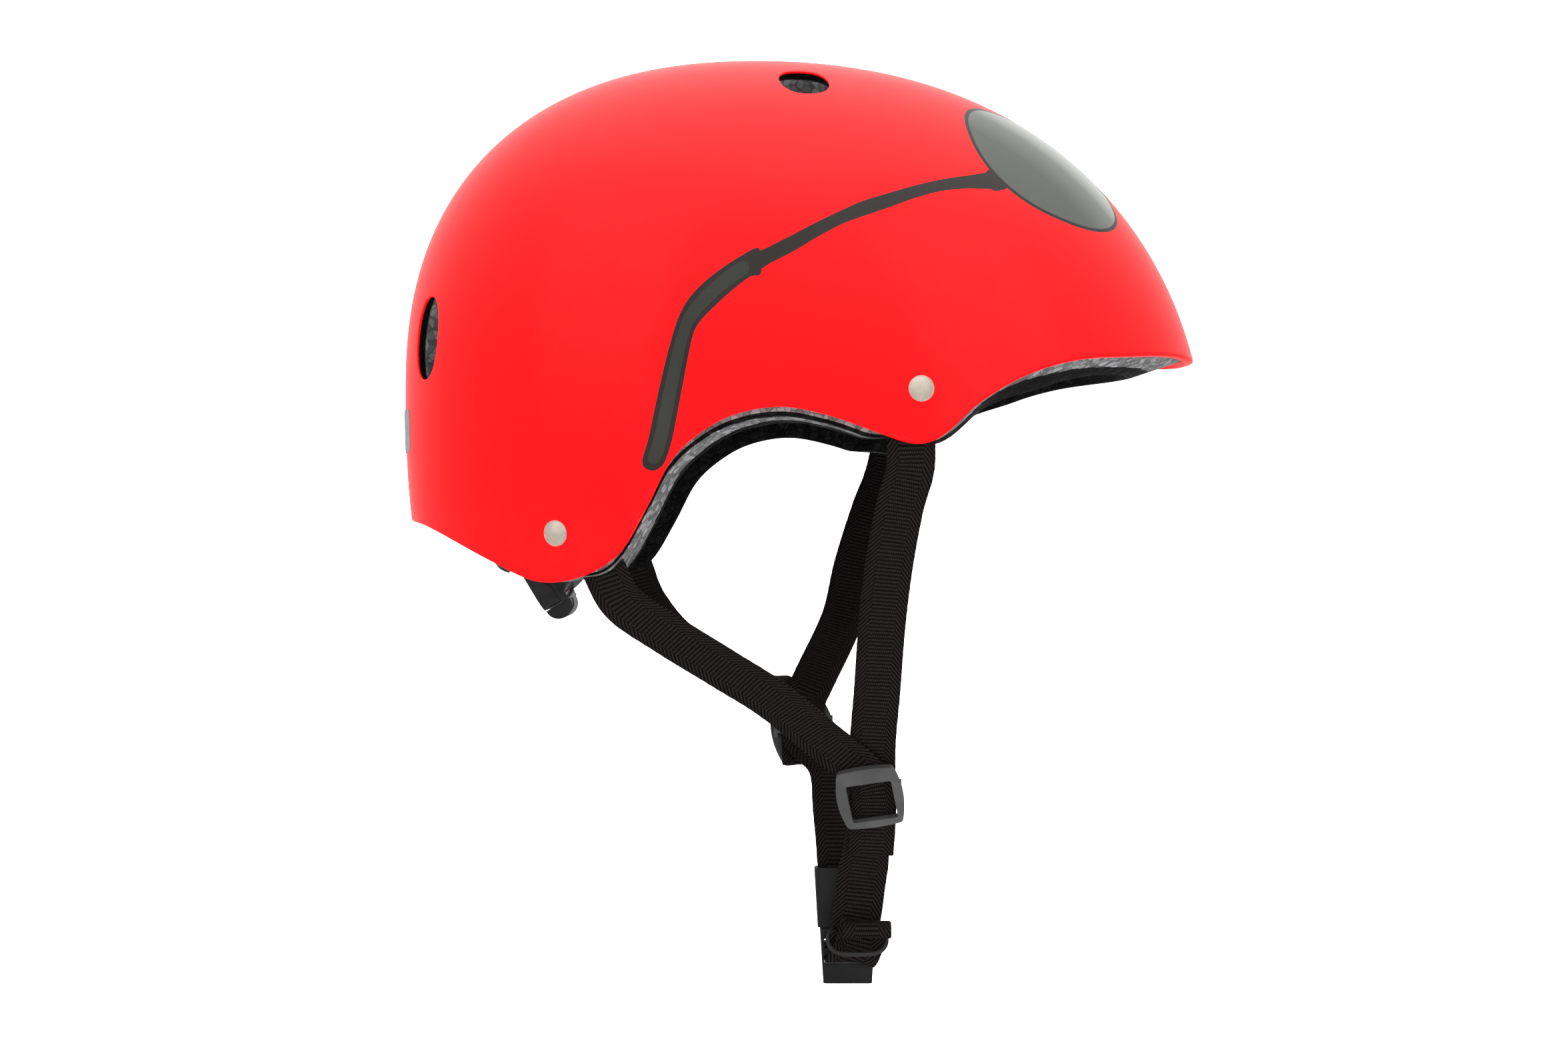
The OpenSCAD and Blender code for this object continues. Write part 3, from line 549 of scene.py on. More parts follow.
def knit(name, colour):
    """Brushed pad cloth: loops about a millimetre apart under a short nap."""
    m = material(name, colour, 0.85, 0.1, sheen=0.05)
    n = Nodes(m)
    loop = n.new("TexVoronoi", {"Vector": n.object_space(), "Scale": 1100.0}).outputs["Distance"]
    nap = n.noise(420, 6, 0.75)
    lift = tuple(c * 2.2 for c in colour)
    n.colour(n.ramp(n.add(n.times(nap, 0.7), n.times(loop, 0.3)), [(0.3, colour), (0.75, lift)]))
    n.rough(n.span(nap, 0.3, 0.7, 0.75, 0.95))
    n.normal(n.bump(n.add(loop, nap), 0.0003, 0.7))
    return m


def metal(name, colour, rough):
    """Plated metal with a brushed, slightly uneven sheen."""
    m = material(name, colour, rough, 0.5, 0.6)
    dull = tuple(c * 0.86 for c in colour)
    Nodes(m).finish((240, 4), [(0.35, colour), (0.7, dull)], (700, 5), (rough * 0.7, rough * 1.5),
                    (500, 3), 0.00004, 0.4)
    return m


foam_mat = bead_foam("bead_foam")
# Near-black foam stands for shade: painted shade on the liner's inside and edge and on the shell's vent walls.
shade_painted_foam = bead_foam("bead_foam_painted_shade", (0.0015, 0.003, 0.006), 0.001, 0.1)
web_mat = woven("black_webbing")
slider_mat = moulded("slider_plastic", (0.036,) * 3, 0.5, 0.3)
buckle_mat = moulded("buckle_plastic", (0.0065,) * 3, 0.35, 0.3)
cradle_mat = moulded("cradle_plastic", (0.008, 0.008, 0.0085), 0.14, 0.5, 0.00003, 300)
dial_mat = moulded("dial_plastic", (0.02, 0.02, 0.021), 0.5)
band_mat = moulded("band_plastic", (0.16, 0.165, 0.175), 0.42)
pinion_mat = moulded("pinion_plastic", (0.7, 0.7, 0.68), 0.4)
rubber_mat = moulded("ring_rubber", (0.012,) * 3, 0.6, 0.35)
pad_mat = knit("pad_cloth", (0.0035, 0.0028, 0.0028))
hook_mat = knit("hook_cloth", (0.02,) * 3)
nickel = metal("satin_nickel", (0.54, 0.48, 0.4), 0.28)
bright = metal("bright_steel", (0.6, 0.6, 0.61), 0.3)


# --- Layered dome: outer face, inner face and rounded edges between
def bezier(a, b, c, n):
    t = np.linspace(0, 1, n + 1)[:, None, None]
    return (1 - t) ** 2 * a + 2 * t * (1 - t) * b + t * t * c


def edge_rows(out, inn, r_out, r_in, flat):
    """Rows of points from the outer face to the inner face round an edge, and both faces' new loops."""
    S0, q0, e0 = out
    S1, q1, e1 = inn
    P0, P1 = S0(q0), S1(q1)
    w = unit(P1 - P0)
    a = shifted(S0, q0, -r_out * e0)
    d = shifted(S1, q1, -r_in * e1)
    first = bezier(S0(a), P0, P0 + r_out * w, EDGE_STEPS)
    last = bezier(P1 - r_in * w, P1, S1(d), EDGE_STEPS)
    mid = [first[-1] + (last[0] - first[-1]) * k / (flat + 1) for k in range(1, flat + 1)]
    return a, d, np.concatenate([first, np.array(mid).reshape(flat, -1, 3), last])


def beyond(S, q, normals, outward):
    """Unit directions on the surface, square to the loop, pointing off the surface's edge."""
    P = S(q)
    along = unit(np.roll(P, -1, 0) - np.roll(P, 1, 0))
    e = unit(np.cross(along, normals))
    middle = P.mean(0)
    sign = np.sign(np.einsum("ni,ni->n", e, P - middle).sum()) * (1 if outward else -1)
    return e * sign


def chart_normals(S, q):
    a, b = slope_of(S, q, 0.2)
    return unit(np.cross(a, b))


def layered(name, S_out, S_in, edge_pair, hole_pairs, lines, spacing, radii, hole_radii, mats, pick,
            hole_flat=2, pick_in=None, edge_flat=2, pick_edge=None, hole_wall=0):
    """A shell between two surfaces. edge_pair and hole_pairs hold an outer and an inner chart loop with
    matching points; pick, pick_in, pick_edge and hole_wall choose the material of each face."""
    outs, inns, strips = [], [], []
    for k, (qo, qi) in enumerate([edge_pair] + hole_pairs):
        ro, ri = radii if k == 0 else hole_radii
        eo = beyond(S_out, qo, chart_normals(S_out, qo), k == 0)
        ei = beyond(S_in, qi, chart_normals(S_in, qi), k == 0)
        flat = edge_flat if k == 0 else hole_flat
        a, d, rows = edge_rows((S_out, qo, eo), (S_in, qi, ei), ro, ri, flat)
        outs.append(a)
        inns.append(d)
        strips.append(rows)
    vo, to, io = triangulate(outs[0], outs[1:], lines, spacing, spacing * 0.55)
    vi, ti, ii = triangulate(inns[0], inns[1:], [], spacing * 1.6, spacing * 0.6)
    verts = [S_out(vo), S_in(vi)]
    normals = [chart_normals(S_out, vo), -chart_normals(S_in, vi)]
    faces = [to, ti[:, ::-1] + len(vo)]
    which = [pick(vo[to].mean(1)), pick_in(vi[ti].mean(1)) if pick_in else np.zeros(len(ti), int)]
    base = len(vo) + len(vi)
    quads = []
    for rows, o, i in zip(strips, io, ii):
        n, m = rows.shape[0], rows.shape[1]
        along = np.roll(rows, -1, 1) - np.roll(rows, 1, 1)
        down = np.gradient(rows, axis=0)
        nn = unit(np.cross(along, down))
        if np.einsum("ni,ni->n", nn[0], normals[0][o]).sum() < 0:
            nn = -nn
        inner = rows[1:-1].reshape(-1, 3)
        verts.append(inner)
        normals.append(nn[1:-1].reshape(-1, 3))
        between = base + np.arange((n - 2) * m).reshape(n - 2, m)
        index = np.concatenate([o[None], between, (i + len(vo))[None]])
        base += (n - 2) * m
        a, b = index[:-1], index[1:]
        q = np.stack([a, np.roll(a, -1, 1), np.roll(b, -1, 1), b], -1).reshape(-1, 4)
        P = np.concatenate(verts)
        N = np.concatenate(normals)
        f = np.cross(P[q[:, 1]] - P[q[:, 0]], P[q[:, 3]] - P[q[:, 0]])
        if np.einsum("ni,ni->n", f, N[q[:, 0]]).sum() < 0:
            q = q[:, ::-1]
        quads.append(q)
        row = np.repeat(np.arange(n - 1), m)
        if rows is not strips[0]:
            which.append(np.where(row >= EDGE_STEPS, hole_wall, 0))
        else:
            which.append(pick_edge(row, P[q].mean(1)) if pick_edge else 0 * row)
    allf = [tuple(f) for part in faces for f in part] + [tuple(f) for part in quads for f in part]
    return make(name, np.concatenate(verts), allf, mats, np.concatenate(which), np.concatenate(normals))


def vent_loop(vent, grow):
    """Points round a vent grown by grow, the way it is cut, and its middle on the chart."""
    az, z, length, width = vent
    pol = float(pol_at(az, z))
    N = dome_normal(az, pol)
    C = dome(az, pol)
    down = unit(dome(az, pol + 0.5) - dome(az, pol - 0.5))
    side = np.cross(N, down)
    t = full_turn(72)
    p = 2 / 2.25
    x = (length / 2 + grow) * squared(np.cos(t), p)
    y = (width / 2 + grow) * squared(np.sin(t), p)
    return C + x[:, None] * down + y[:, None] * side, N, chart(az, pol)


def curve_piece(a, b, c, d, k):
    return [hermite(b, c, (c - a) / 2, (d - b) / 2, j / k) for j in range(k)]


def vent_pairs(out, inn, grow_out, grow_in, inner_start=lambda q: q):
    """The loops in which each vent passes through an outer and an inner surface."""
    pairs = []
    for v in VENTS:
        P, N, q0 = vent_loop(v, grow_out)
        P2 = vent_loop(v, grow_in)[0]
        pairs.append((dropped(out, P, N, q0), dropped(inn, P2, N, inner_start(q0))))
    return pairs


def smooth_closed(pts, step=1.0):
    """A closed curve through the points, cut about every step millimetres."""
    pts = np.asarray(pts, float)
    n = len(pts)
    out = []
    for i in range(n):
        b, c = pts[i], pts[(i + 1) % n]
        out += curve_piece(pts[i - 1], b, c, pts[(i + 2) % n], max(2, int(np.linalg.norm(c - b) / step)))
    return np.array(out)


def side_chart(xz, side):
    """Chart points on the shell's side from side-view x and z."""
    x, z = np.asarray(xz, float).T
    lo, hi = np.full(len(x), 20.0), np.full(len(x), 160.0)
    for _ in range(40):
        mid = (lo + hi) / 2
        ahead = dome(mid, pol_at(mid, z))[:, 0] > x
        lo, hi = np.where(ahead, mid, lo), np.where(ahead, hi, mid)
    az = (lo + hi) / 2
    return chart(side * az, pol_at(az, z))


# Printed eyewear: lens, rim, bracket, arm and temple tip, the same on both sides, and a bridge
LENS_AT, LENS_NORMAL, LENS_TURN = [86.2, -44.6, 66.9], [0.65, -0.45, 0.62], 0.67
LENS_HALF, LENS_POWER, LENS_RIM = (28.7, 26.7), 2.2, 1.3
BRIDGE_Z, BRIDGE_HALF, BRIDGE_REACH = 75, 2.6, 15
ARM_GROW = 0.3
ARM_TOP = [[67, 59.5], [57, 57.8], [48.5, 56], [40, 53.6], [31.3, 50.7], [24, 48.2], [17.7, 45.2],
           [10, 41.3], [3.2, 37.6], [-4, 33.8], [-10, 30.4]]
ARM_LOW = [[-9, 26.2], [-4, 29], [3.2, 32.8], [10, 37], [17.7, 41.3], [24, 43.8], [31.3, 46.5],
           [40, 50], [48.5, 52.7], [57, 54], [67, 54.8]]
TIP_REAR = [[-7.5, 33.2], [-13, 31], [-21.5, 25.2], [-28, 19], [-31.7, 12.8], [-34.7, 3.5], [-38, -10],
            [-41, -24], [-43, -31]]
TIP_END = [[-42.3, -33.4], [-39.6, -34.4], [-36.8, -32.8]]
TIP_FRONT = [[-7, 25.4], [-10, 24.6], [-15.3, 20.6], [-21.1, 15.3], [-25.6, 10.5], [-27.8, 5.5], [-30.7, -9],
             [-33.6, -24], [-35.4, -30]]
BRACKET = [[63, 59.4], [66.6, 61.6], [71, 60.5], [71.5, 56], [67.4, 53.6], [64.4, 54]]


def lens_loop(grow, side):
    """The lens's outline, drawn on a slanting plane and dropped onto the shell."""
    n = unit(LENS_NORMAL)
    t = unit(np.cross([0, 1, 0], n))
    b = np.cross(n, t)
    a = full_turn(90)
    U = (LENS_HALF[0] + grow) * squared(np.cos(a), 2 / LENS_POWER)
    V = (LENS_HALF[1] + grow) * squared(np.sin(a), 2 / LENS_POWER)
    u = U * math.cos(LENS_TURN) - V * math.sin(LENS_TURN)
    v = U * math.sin(LENS_TURN) + V * math.cos(LENS_TURN)
    P = np.array(LENS_AT) + u[:, None] * t + v[:, None] * b
    q = dropped(layer(0.0), P, n, chart(-28.0, 52.0))
    return q if side == RIGHT else q * [1, -1]


def eyewear():
    """Chart loops of the print's three colours: dark frame, lens and temple tip's middle."""
    arm = [[x, z + ARM_GROW] for x, z in ARM_TOP] + [[x, z - ARM_GROW] for x, z in ARM_LOW]
    r, f = np.array(TIP_REAR[1:]), np.array(TIP_FRONT[1:])
    tip_middle = list(r + (f - r) * 0.22) + [[-39.4, -32.4]] + list(r + (f - r) * 0.78)[::-1]
    dark, lens, tip = [], [], []
    for side in (RIGHT, LEFT):
        dark.append(lens_loop(LENS_RIM, side))
        lens.append(lens_loop(0.0, side))
        for outline in (arm, BRACKET, TIP_REAR + TIP_END + TIP_FRONT[::-1]):
            dark.append(side_chart(smooth_closed(outline), side))
        tip.append(side_chart(smooth_closed(tip_middle), side))
    out = np.linspace(-BRIDGE_REACH, BRIDGE_REACH, 16)
    az = np.concatenate([out, out[::-1]])
    z = BRIDGE_Z + np.repeat([BRIDGE_HALF, -BRIDGE_HALF], 16) - 0.012 * az ** 2
    dark.append(chart(az, pol_at(az, z)))
    return dark, lens, tip


def build_shell():
    out, inn = layer(0.0), layer(SHELL_T)
    edge = (chart(FINE_AZ, _shell_rim), chart(FINE_AZ, _shell_rim))
    holes = vent_pairs(out, inn, 0.0, 1.6)
    dark, lens, tip = eyewear()

    def pick(c):
        w = np.zeros(len(c), int)
        for group, k in ((dark, 1), (lens, 2), (tip, 3)):
            for loop in group:
                w[in_polygon(c, loop)] = k
        return w

    # The vent walls through the shell get the near-black foam: painted shade inside the vents.
    return layered("shell", out, inn, edge, holes, dark + lens + tip, 2.2, (1.1, 0.7), (0.9, 0.5),
                   [red, rim_grey, lens_ink_and_sheen, tip_grey, shade_painted_foam], pick, hole_wall=4)


def liner_painted_shade_pick(row, at):
    """Pale foam in the middle of the liner's edge; outside it, inside it and all round the back the foam is
    painted near-black as shade.
    """
    lo = np.interp(at[:, 0], [-40, -8, 55, 62], [3, 8, 10, -1])
    hi = np.interp(at[:, 0], [-40, -8, 55, 62, 75, 110, 135], [21, 17, 14, 8, 11, 17, 21])
    return ((row < lo) | (row > hi) | (at[:, 0] < -84)).astype(int)


def build_liner():
    out, inn = layer(SKIN), foam_face
    edge = (chart(FINE_AZ, _skin_rim), chart(FINE_AZ, 100.0 + 0 * FINE_AZ))

    def as_fraction(q):
        az, r = polar(q)
        return chart(az, 100 * r / around(_foam_rim, az))

    holes = vent_pairs(out, inn, 1.5, 2.6, as_fraction)
    # The liner's whole inner face gets the near-black foam: painted shade inside the helmet.
    return layered("liner", out, inn, edge, holes, [], 2.4, (1.0, 1.4), (0.8, 1.5), [foam_mat, shade_painted_foam],
                   lambda c: np.zeros(len(c), int), hole_flat=6, pick_in=lambda c: np.ones(len(c), int),
                   edge_flat=17, pick_edge=liner_painted_shade_pick)


shell = build_shell()
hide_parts("outer_shell")
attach(shell, "helmet")
liner = build_liner()
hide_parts("eps_liner")
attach(liner, "helmet")


# --- Rivets, washers, sticker
def at_shell(place, side):
    """A place on the outer face, with the directions out of it, down it and across it."""
    az, z = side * place[0], place[1]
    pol = float(pol_at(az, z))
    n = dome_normal(az, pol)
    t = unit(dome(az, pol + 0.5) - dome(az, pol - 0.5))
    return dome(az, pol), n, t, np.cross(n, t)


def lathe(profile, steps=64):
    """Points and faces of a turned shape: profile is [radius, height], both ends on the axis."""
    a = full_turn(steps)
    rings = [np.stack([r * np.cos(a), r * np.sin(a), 0 * a + h], -1) for r, h in profile[1:-1]]
    verts = np.concatenate([[[0, 0, profile[0][1]]]] + rings + [[[0, 0, profile[-1][1]]]])
    faces = tube_faces(len(rings), steps, start=1)
    last = len(verts) - 1
    top = 1 + (len(rings) - 1) * steps
    faces += [(0, 1 + (i + 1) % steps, 1 + i) for i in range(steps)]
    faces += [(last, top + i, top + (i + 1) % steps) for i in range(steps)]
    return verts, faces


def rivets(name, place):
    R, h = 4.0, 1.7
    cap = (R * R + h * h) / (2 * h)
    profile = [[0, -6.4], [2.6, -6.4], [2.9, -6.1], [2.2, -5.6], [1.6, -5.5], [1.6, 0.02], [3.5, 0.02],
               [3.85, 0.06], [4.0, 0.22], [3.98, 0.36], [3.8, 0.44]]
    for t in np.linspace(math.asin(3.7 / cap), 0, 12)[:-1]:
        profile.append([cap * math.sin(t), h + 0.1 - cap + cap * math.cos(t)])
    profile.append([0, h + 0.1])
    V, F = lathe(profile)
    verts, faces = [], []
    for side in (RIGHT, LEFT):
        c, n, t, b = at_shell(place, side)
        faces += [tuple(i + len(verts) for i in f) for f in F]
        verts += [c + p[0] * t + p[1] * b + p[2] * n for p in V]
    obj = make(name, verts, faces, nickel)
    sharpen(obj, 40)
    return obj


for name, place in (("front_rivets", FRONT_RIVET), ("rear_rivets", REAR_RIVET)):
    piece = rivets("domed_" + name, place)
    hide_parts(name)
    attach(piece, "helmet")


def rear_sticker():
    """A thin plain label with rounded ends, lying on the shell at the back."""
    reach, middle_z, half_height, top, low = 15.5, -20, 7, 0.3, 0.02
    s = np.linspace(-1, 1, 97)
    t = np.linspace(-1, 1, 25)
    S, T = np.meshgrid(s, t, indexing="ij")
    into_end = np.clip(1 - ((np.abs(S) - 0.9) / 0.1) ** 2, 0, 1)
    corner = np.where(np.abs(S) > 0.9, np.sqrt(into_end) * 0.4 + 0.6, 1.0)
    az, z = 180 + reach * S, middle_z - half_height * T * corner
    pol = pol_at(az, z)
    n, m = len(s), len(t)
    face = [(i * m + j, i * m + j + 1, (i + 1) * m + j + 1, (i + 1) * m + j)
            for i in range(n - 1) for j in range(m - 1)]
    k = n * m
    rim = [i * m for i in range(n)] + [(n - 1) * m + j for j in range(1, m)]
    rim += [i * m + m - 1 for i in range(n - 2, -1, -1)] + [j for j in range(m - 2, 0, -1)]
    wall = [(a, b, b + k, a + k) for a, b in zip(rim, rim[1:] + rim[:1])]
    back = [tuple(v + k for v in f[::-1]) for f in face]
    verts = np.concatenate([under(az, pol, -top).reshape(-1, 3), under(az, pol, -low).reshape(-1, 3)])
    obj = make("rear_sticker", verts, face + wall + back, sticker)
    fix_normals(obj)
    sharpen(obj, 40)
    return obj


badge = rear_sticker()
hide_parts("rear_badge")
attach(badge, "helmet")

# --- Webbing
WEB_W, WEB_T = 15.0, 1.3
STRAP_DEPTH = SHELL_T + 1 + WEB_T / 2
STEP = WEB_T + 0.4
RIGHT_SLIDER = ([28.2, -23.4, -137.7], 30.6, 2.2)
LEFT_SLIDER = ([6.6, 26, -120.3], -31, 0)


def in_shell(side, az, z, more=0.0):
    """A strap's middle where it runs up between shell and liner."""
    return under(side * az, pol_at(side * az, z), STRAP_DEPTH + more)


def turn_x(p, a):
    return np.array([p[0], p[1] * cosd(a) - p[2] * sind(a), p[1] * sind(a) + p[2] * cosd(a)])


def turn_y(p, a):
    return np.array([p[0] * cosd(a) + p[2] * sind(a), p[1], p[2] * cosd(a) - p[0] * sind(a)])


def by_slider(at, p):
    return np.array(at[0]) + turn_y(turn_x(p, at[1]), at[2])


def slider_face(at, side):
    return turn_y(turn_x([0, side, 0], at[1]), at[2])


def smooth_line(p, steps):
    """An open curve through the points, with steps pieces between each two."""
    p = np.asarray(p, float)
    n = len(p) - 1
    out = []
    for i in range(n):
        out += curve_piece(p[max(i - 1, 0)], p[i], p[i + 1], p[min(i + 2, n)], steps)
    return np.array(out + [p[n]])


def strip(name, line, across, w=WEB_W, square=True, wide=0.0):
    """Webbing with a slightly thicker, rounded selvedge; its chart is millimetres across and along."""
    line, across = np.asarray(line, float), unit(across)
    n = len(line)
    tangent = unit(np.gradient(line, axis=0))
    if square:
        across = unit(across - np.einsum("ni,ni->n", across, tangent)[:, None] * tangent)
    out = unit(np.cross(across, tangent))
    run = np.concatenate([[0], np.cumsum(np.linalg.norm(np.diff(line, axis=0), axis=1))])
    h, t = w / 2, WEB_T
    us = np.array([-h + 0.35, -h + 1.4, -h + 3.4, -h / 4, h / 4, h - 3.4, h - 1.4, h - 0.35])
    thick = np.array([0.43, 0.5, 0.5, 0.46, 0.46, 0.5, 0.5, 0.43]) * t
    ring = [(u, th) for u, th in zip(us, thick)] + [(h - 0.06, 0.24 * t), (h, 0.0), (h - 0.06, -0.24 * t)]
    ring += [(u, -th) for u, th in zip(us[::-1], thick[::-1])]
    ring = np.array(ring + [(-h + 0.06, -0.24 * t), (-h, 0.0), (-h + 0.06, 0.24 * t)])
    m = len(ring)
    uneven = 1 + wide + 0.006 * np.sin(run * 2 * math.pi / 1.15)
    verts = line[:, None] + (ring[None, :, 0] * uneven[:, None])[..., None] * across[:, None]
    verts = (verts + ring[None, :, 1, None] * out[:, None]).reshape(-1, 3)
    uv = np.stack([np.tile(ring[:, 0], n), np.repeat(run, m)], -1)
    faces = tube_faces(n, m)
    faces.append(tuple(range(m))[::-1])
    faces.append(tuple((n - 1) * m + k for k in range(m)))
    obj = make(name, verts, faces, web_mat, uv=uv)
    fix_normals(obj)
    sharpen(obj, 60)
    return obj


def webbing(name, points, faces_0, faces_1, turned=0.35, last=None, level=2.0, wide=0.0):
    """Webbing through points, facing faces_0 at its start, faces_1 once turned and last at its end.
    After level it is turned square to the front; wide is how much wider its lower part is."""
    line = smooth_line(points, 14)
    f = np.arange(len(line)) / (len(line) - 1)
    a = soft(f / turned)[:, None]
    b = soft((f - 0.8) / 0.2)[:, None]
    faces = np.asarray(faces_0) * (1 - a) + np.asarray(faces_1) * a
    faces = faces * (1 - b) + np.asarray(faces_1 if last is None else last) * b
    c = soft((f - level) / 0.08)[:, None]
    across = unit(np.cross(np.gradient(line, axis=0), faces)) * (1 - c) + np.array([1.0, 0, 0]) * c
    return strip(name, line, across, square=level > 1, wide=wide * soft((f - 0.76) / 0.06))


def anchor_face(side, place):
    return at_shell(place, side)[1]


def front_top(side):
    return [in_shell(side, 61.5, 3), in_shell(side, 62.6, -9.3), in_shell(side, 63.6, -24)]


def rear_top(side):
    return [in_shell(side, 130.5, -45.5), in_shell(side, 125.7, -53.3), in_shell(side, 119.5, -62.5, 0.8)]


def by_right(*p):
    return by_slider(RIGHT_SLIDER, p)


def by_left(*p):
    return by_slider(LEFT_SLIDER, p)


right_front = webbing("right_front_webbing", front_top(RIGHT) + [
    [38.6, -87.5, -34], [35.6, -79.5, -46], [32.8, -68, -64], [31, -56, -83], [29.9, -43.3, -104],
    by_right(0, 0, 19), by_right(0.8, 0, -3), by_right(0, 0, -22.7), [25.8, -5, -170], [24.7, -3.5, -179],
    [23.4, -3.3, -186.2]],
    anchor_face(RIGHT, FRONT_RIVET), slider_face(RIGHT_SLIDER, RIGHT), 0.35, [0, -1, -0.3], wide=0.1)
left_front = webbing("left_front_webbing", front_top(LEFT) + [
    [36.4, 87.5, -34], [31.6, 79, -46], [25.4, 68, -65], [20.6, 55.6, -84], by_left(4, 0, 19),
    by_left(0.3, 0, 9), by_left(0.8, 0, -6), by_left(4.6, 0, -12), by_left(9.6, 0, -18), [17.2, 10.6, -147],
    [18.2, 5.2, -158], [19, 4, -169.8]],
    anchor_face(LEFT, FRONT_RIVET), slider_face(LEFT_SLIDER, LEFT), 0.35, [0, 1, 0], 0.56)
right_rear = webbing("right_rear_webbing", rear_top(RIGHT) + [
    [-50, -82, -74.5], [-36, -73, -85], [-19, -61.5, -96.2], [-3, -50.5, -107],
    by_right(-14, -STEP - 0.4, 18.5), by_right(-4, -STEP, 9.5), by_right(0.6, -STEP, 2),
    by_right(1.5, -STEP, -8), by_right(1.5, -STEP, -24.7)],
    anchor_face(RIGHT, REAR_RIVET), slider_face(RIGHT_SLIDER, RIGHT), 0.75)
left_rear = webbing("left_rear_webbing", rear_top(LEFT) + [
    [-50, 81, -78], [-38, 70, -92], [-22, 58, -101.5], [-9, 47, -108.5],
    by_left(-9, STEP + 0.4, 15), by_left(-2.6, STEP, 8), by_left(0, STEP, 2), by_left(0, STEP, -5),
    by_left(0.3, STEP, -13.4)],
    anchor_face(LEFT, REAR_RIVET), slider_face(LEFT_SLIDER, LEFT), 0.75)
for piece, node in ((right_front, "right_front_strap"), (left_front, "left_front_strap"),
                    (right_rear, "right_rear_strap"), (left_rear, "left_rear_strap")):
    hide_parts(node)
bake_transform(right_front)
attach(left_front, "helmet")
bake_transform(right_rear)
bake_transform(left_rear)

ROLL_AT, ROLL_R, ROLL_PITCH, ROLL_TURN = (27.6, -8.3, -185.9), 3.0, 1.4, 440
tail_in = smooth_line([
    [23.6, -3, -188.4], [22.5, -1.6, -190.2], [21.6, 1.2, -191.3], [21.6, 4, -191.5], [21.6, 7.2, -191.6],
    [21.6, 9.2, -192.5], [21.6, 9.7, -194.2], [21.6, 9.2, -195.9], [21.6, 7.2, -196.8], [21.6, 4, -196.8],
    [21.6, 1, -196.9], [21.8, -1.8, -196.8], [22.8, -3.9, -195.6], [24.4, -4.8, -193], [25.3, -5.1, -190]], 6)
a = np.arange(0, ROLL_TURN + 1, 8)
r = ROLL_R - ROLL_PITCH * a / 360
roll = np.stack([ROLL_AT[0] - 1.4 * np.exp(-a / 30), ROLL_AT[1] + r * cosd(a), ROLL_AT[2] + r * sind(a)], -1)
tail_line = np.concatenate([tail_in, roll])
tail = strip("tail_webbing", tail_line, np.tile([-1.0, 0, 0], (len(tail_line), 1)), WEB_W + 1.2)
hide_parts("strap_tail")
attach(tail, "plug")


# --- Pieces that keep their CAD shape, with moulded edges
def softened(node, body, mat, width=0.5, segments=3, angle=28):
    """A copy of a CAD node with its flat faces joined up and its edges rounded."""
    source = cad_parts[node]
    mesh = source.data.copy()
    mesh.transform(source.matrix_world)
    bm = bmesh.new()
    bm.from_mesh(mesh)
    bmesh.ops.remove_doubles(bm, verts=bm.verts, dist=0.000004)
    bmesh.ops.dissolve_limit(bm, angle_limit=math.radians(1.0), verts=bm.verts, edges=bm.edges)
    bm.to_mesh(mesh)
    bm.free()
    if mesh.has_custom_normals:
        mesh.attributes.remove(mesh.attributes["custom_normal"])
    mesh.materials.clear()
    mesh.materials.append(mat)
    obj = bpy.data.objects.new("moulded_" + node, mesh)
    scene.collection.objects.link(obj)
    mod = obj.modifiers.new("round", "BEVEL")
    mod.width, mod.segments = width * 0.001, segments
    mod.limit_method, mod.angle_limit = "ANGLE", math.radians(angle)
    mod.use_clamp_overlap = True
    mod.miter_outer = "MITER_ARC"
    apply(obj)
    sharpen(obj, 35)
    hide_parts(node)
    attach(obj, body)
    return obj


for node, body, mat, width in (
        ("buckle_socket", "helmet", buckle_mat, 0.8), ("buckle_plug", "plug", buckle_mat, 0.7),
        ("front_prong", "front_squeeze_arm", buckle_mat, 0.4),
        ("rear_prong", "rear_squeeze_arm", buckle_mat, 0.4),
        ("right_slider", "right_slider_body", slider_mat, 0.7),
        ("left_slider", "left_slider_body", slider_mat, 0.7),
        ("dial_housing", "helmet", cradle_mat, 0.5), ("fit_yoke", "helmet", cradle_mat, 0.4),
        ("fit_dial", "dial", dial_mat, 0.3)):
    softened(node, body, mat, width)

for node, mat in (("rivet_washers", bright), ("hook_dots", hook_mat), ("yoke_pins", cradle_mat),
                  ("click_spring", bright), ("drive_pinion", pinion_mat), ("right_fit_band", band_mat),
                  ("left_fit_band", band_mat)):
    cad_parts[node].material_slots[0].material = mat


# --- Keeper ring
def keeper_ring():
    """A round band bent to a slanting rounded rectangle."""
    middle, reach, d, sides = np.array([24.5, -4.05, -189.4]), np.array([9.8, -3.3, -4.5]), 1.5, 16
    a = np.arange(0, 360, 3)
    c = squared(cosd(a), 0.5)
    raw = middle + np.stack([reach[0] * c, reach[1] * sind(a), reach[2] * sind(a)], -1)
    step = np.linalg.norm(np.diff(np.vstack([raw, raw[:1]]), axis=0), axis=1)
    run = np.concatenate([[0], np.cumsum(step)])
    even = np.linspace(0, run[-1], 121)[:-1]
    line = np.stack([np.interp(even, run, np.append(raw[:, k], raw[0, k])) for k in range(3)], -1)
    for _ in range(2):
        line = (np.roll(line, 1, 0) + 2 * line + np.roll(line, -1, 0)) / 4
    h = unit(np.roll(line, -1, 0) - np.roll(line, 1, 0))
    side = unit(np.cross(h, [0.1, 1, 0.3]))
    up = np.cross(side, h)
    k = (np.arange(sides) * 360 / sides)[None, :, None]
    verts = line[:, None] + d / 2 * (cosd(k) * side[:, None] + sind(k) * up[:, None])
    faces = tube_faces(len(line), sides, closed=True)
    obj = make("rubber_keeper", verts.reshape(-1, 3), faces, rubber_mat)
    fix_normals(obj)
    return obj


ring = keeper_ring()
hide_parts("keeper_ring")
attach(ring, "keeper")


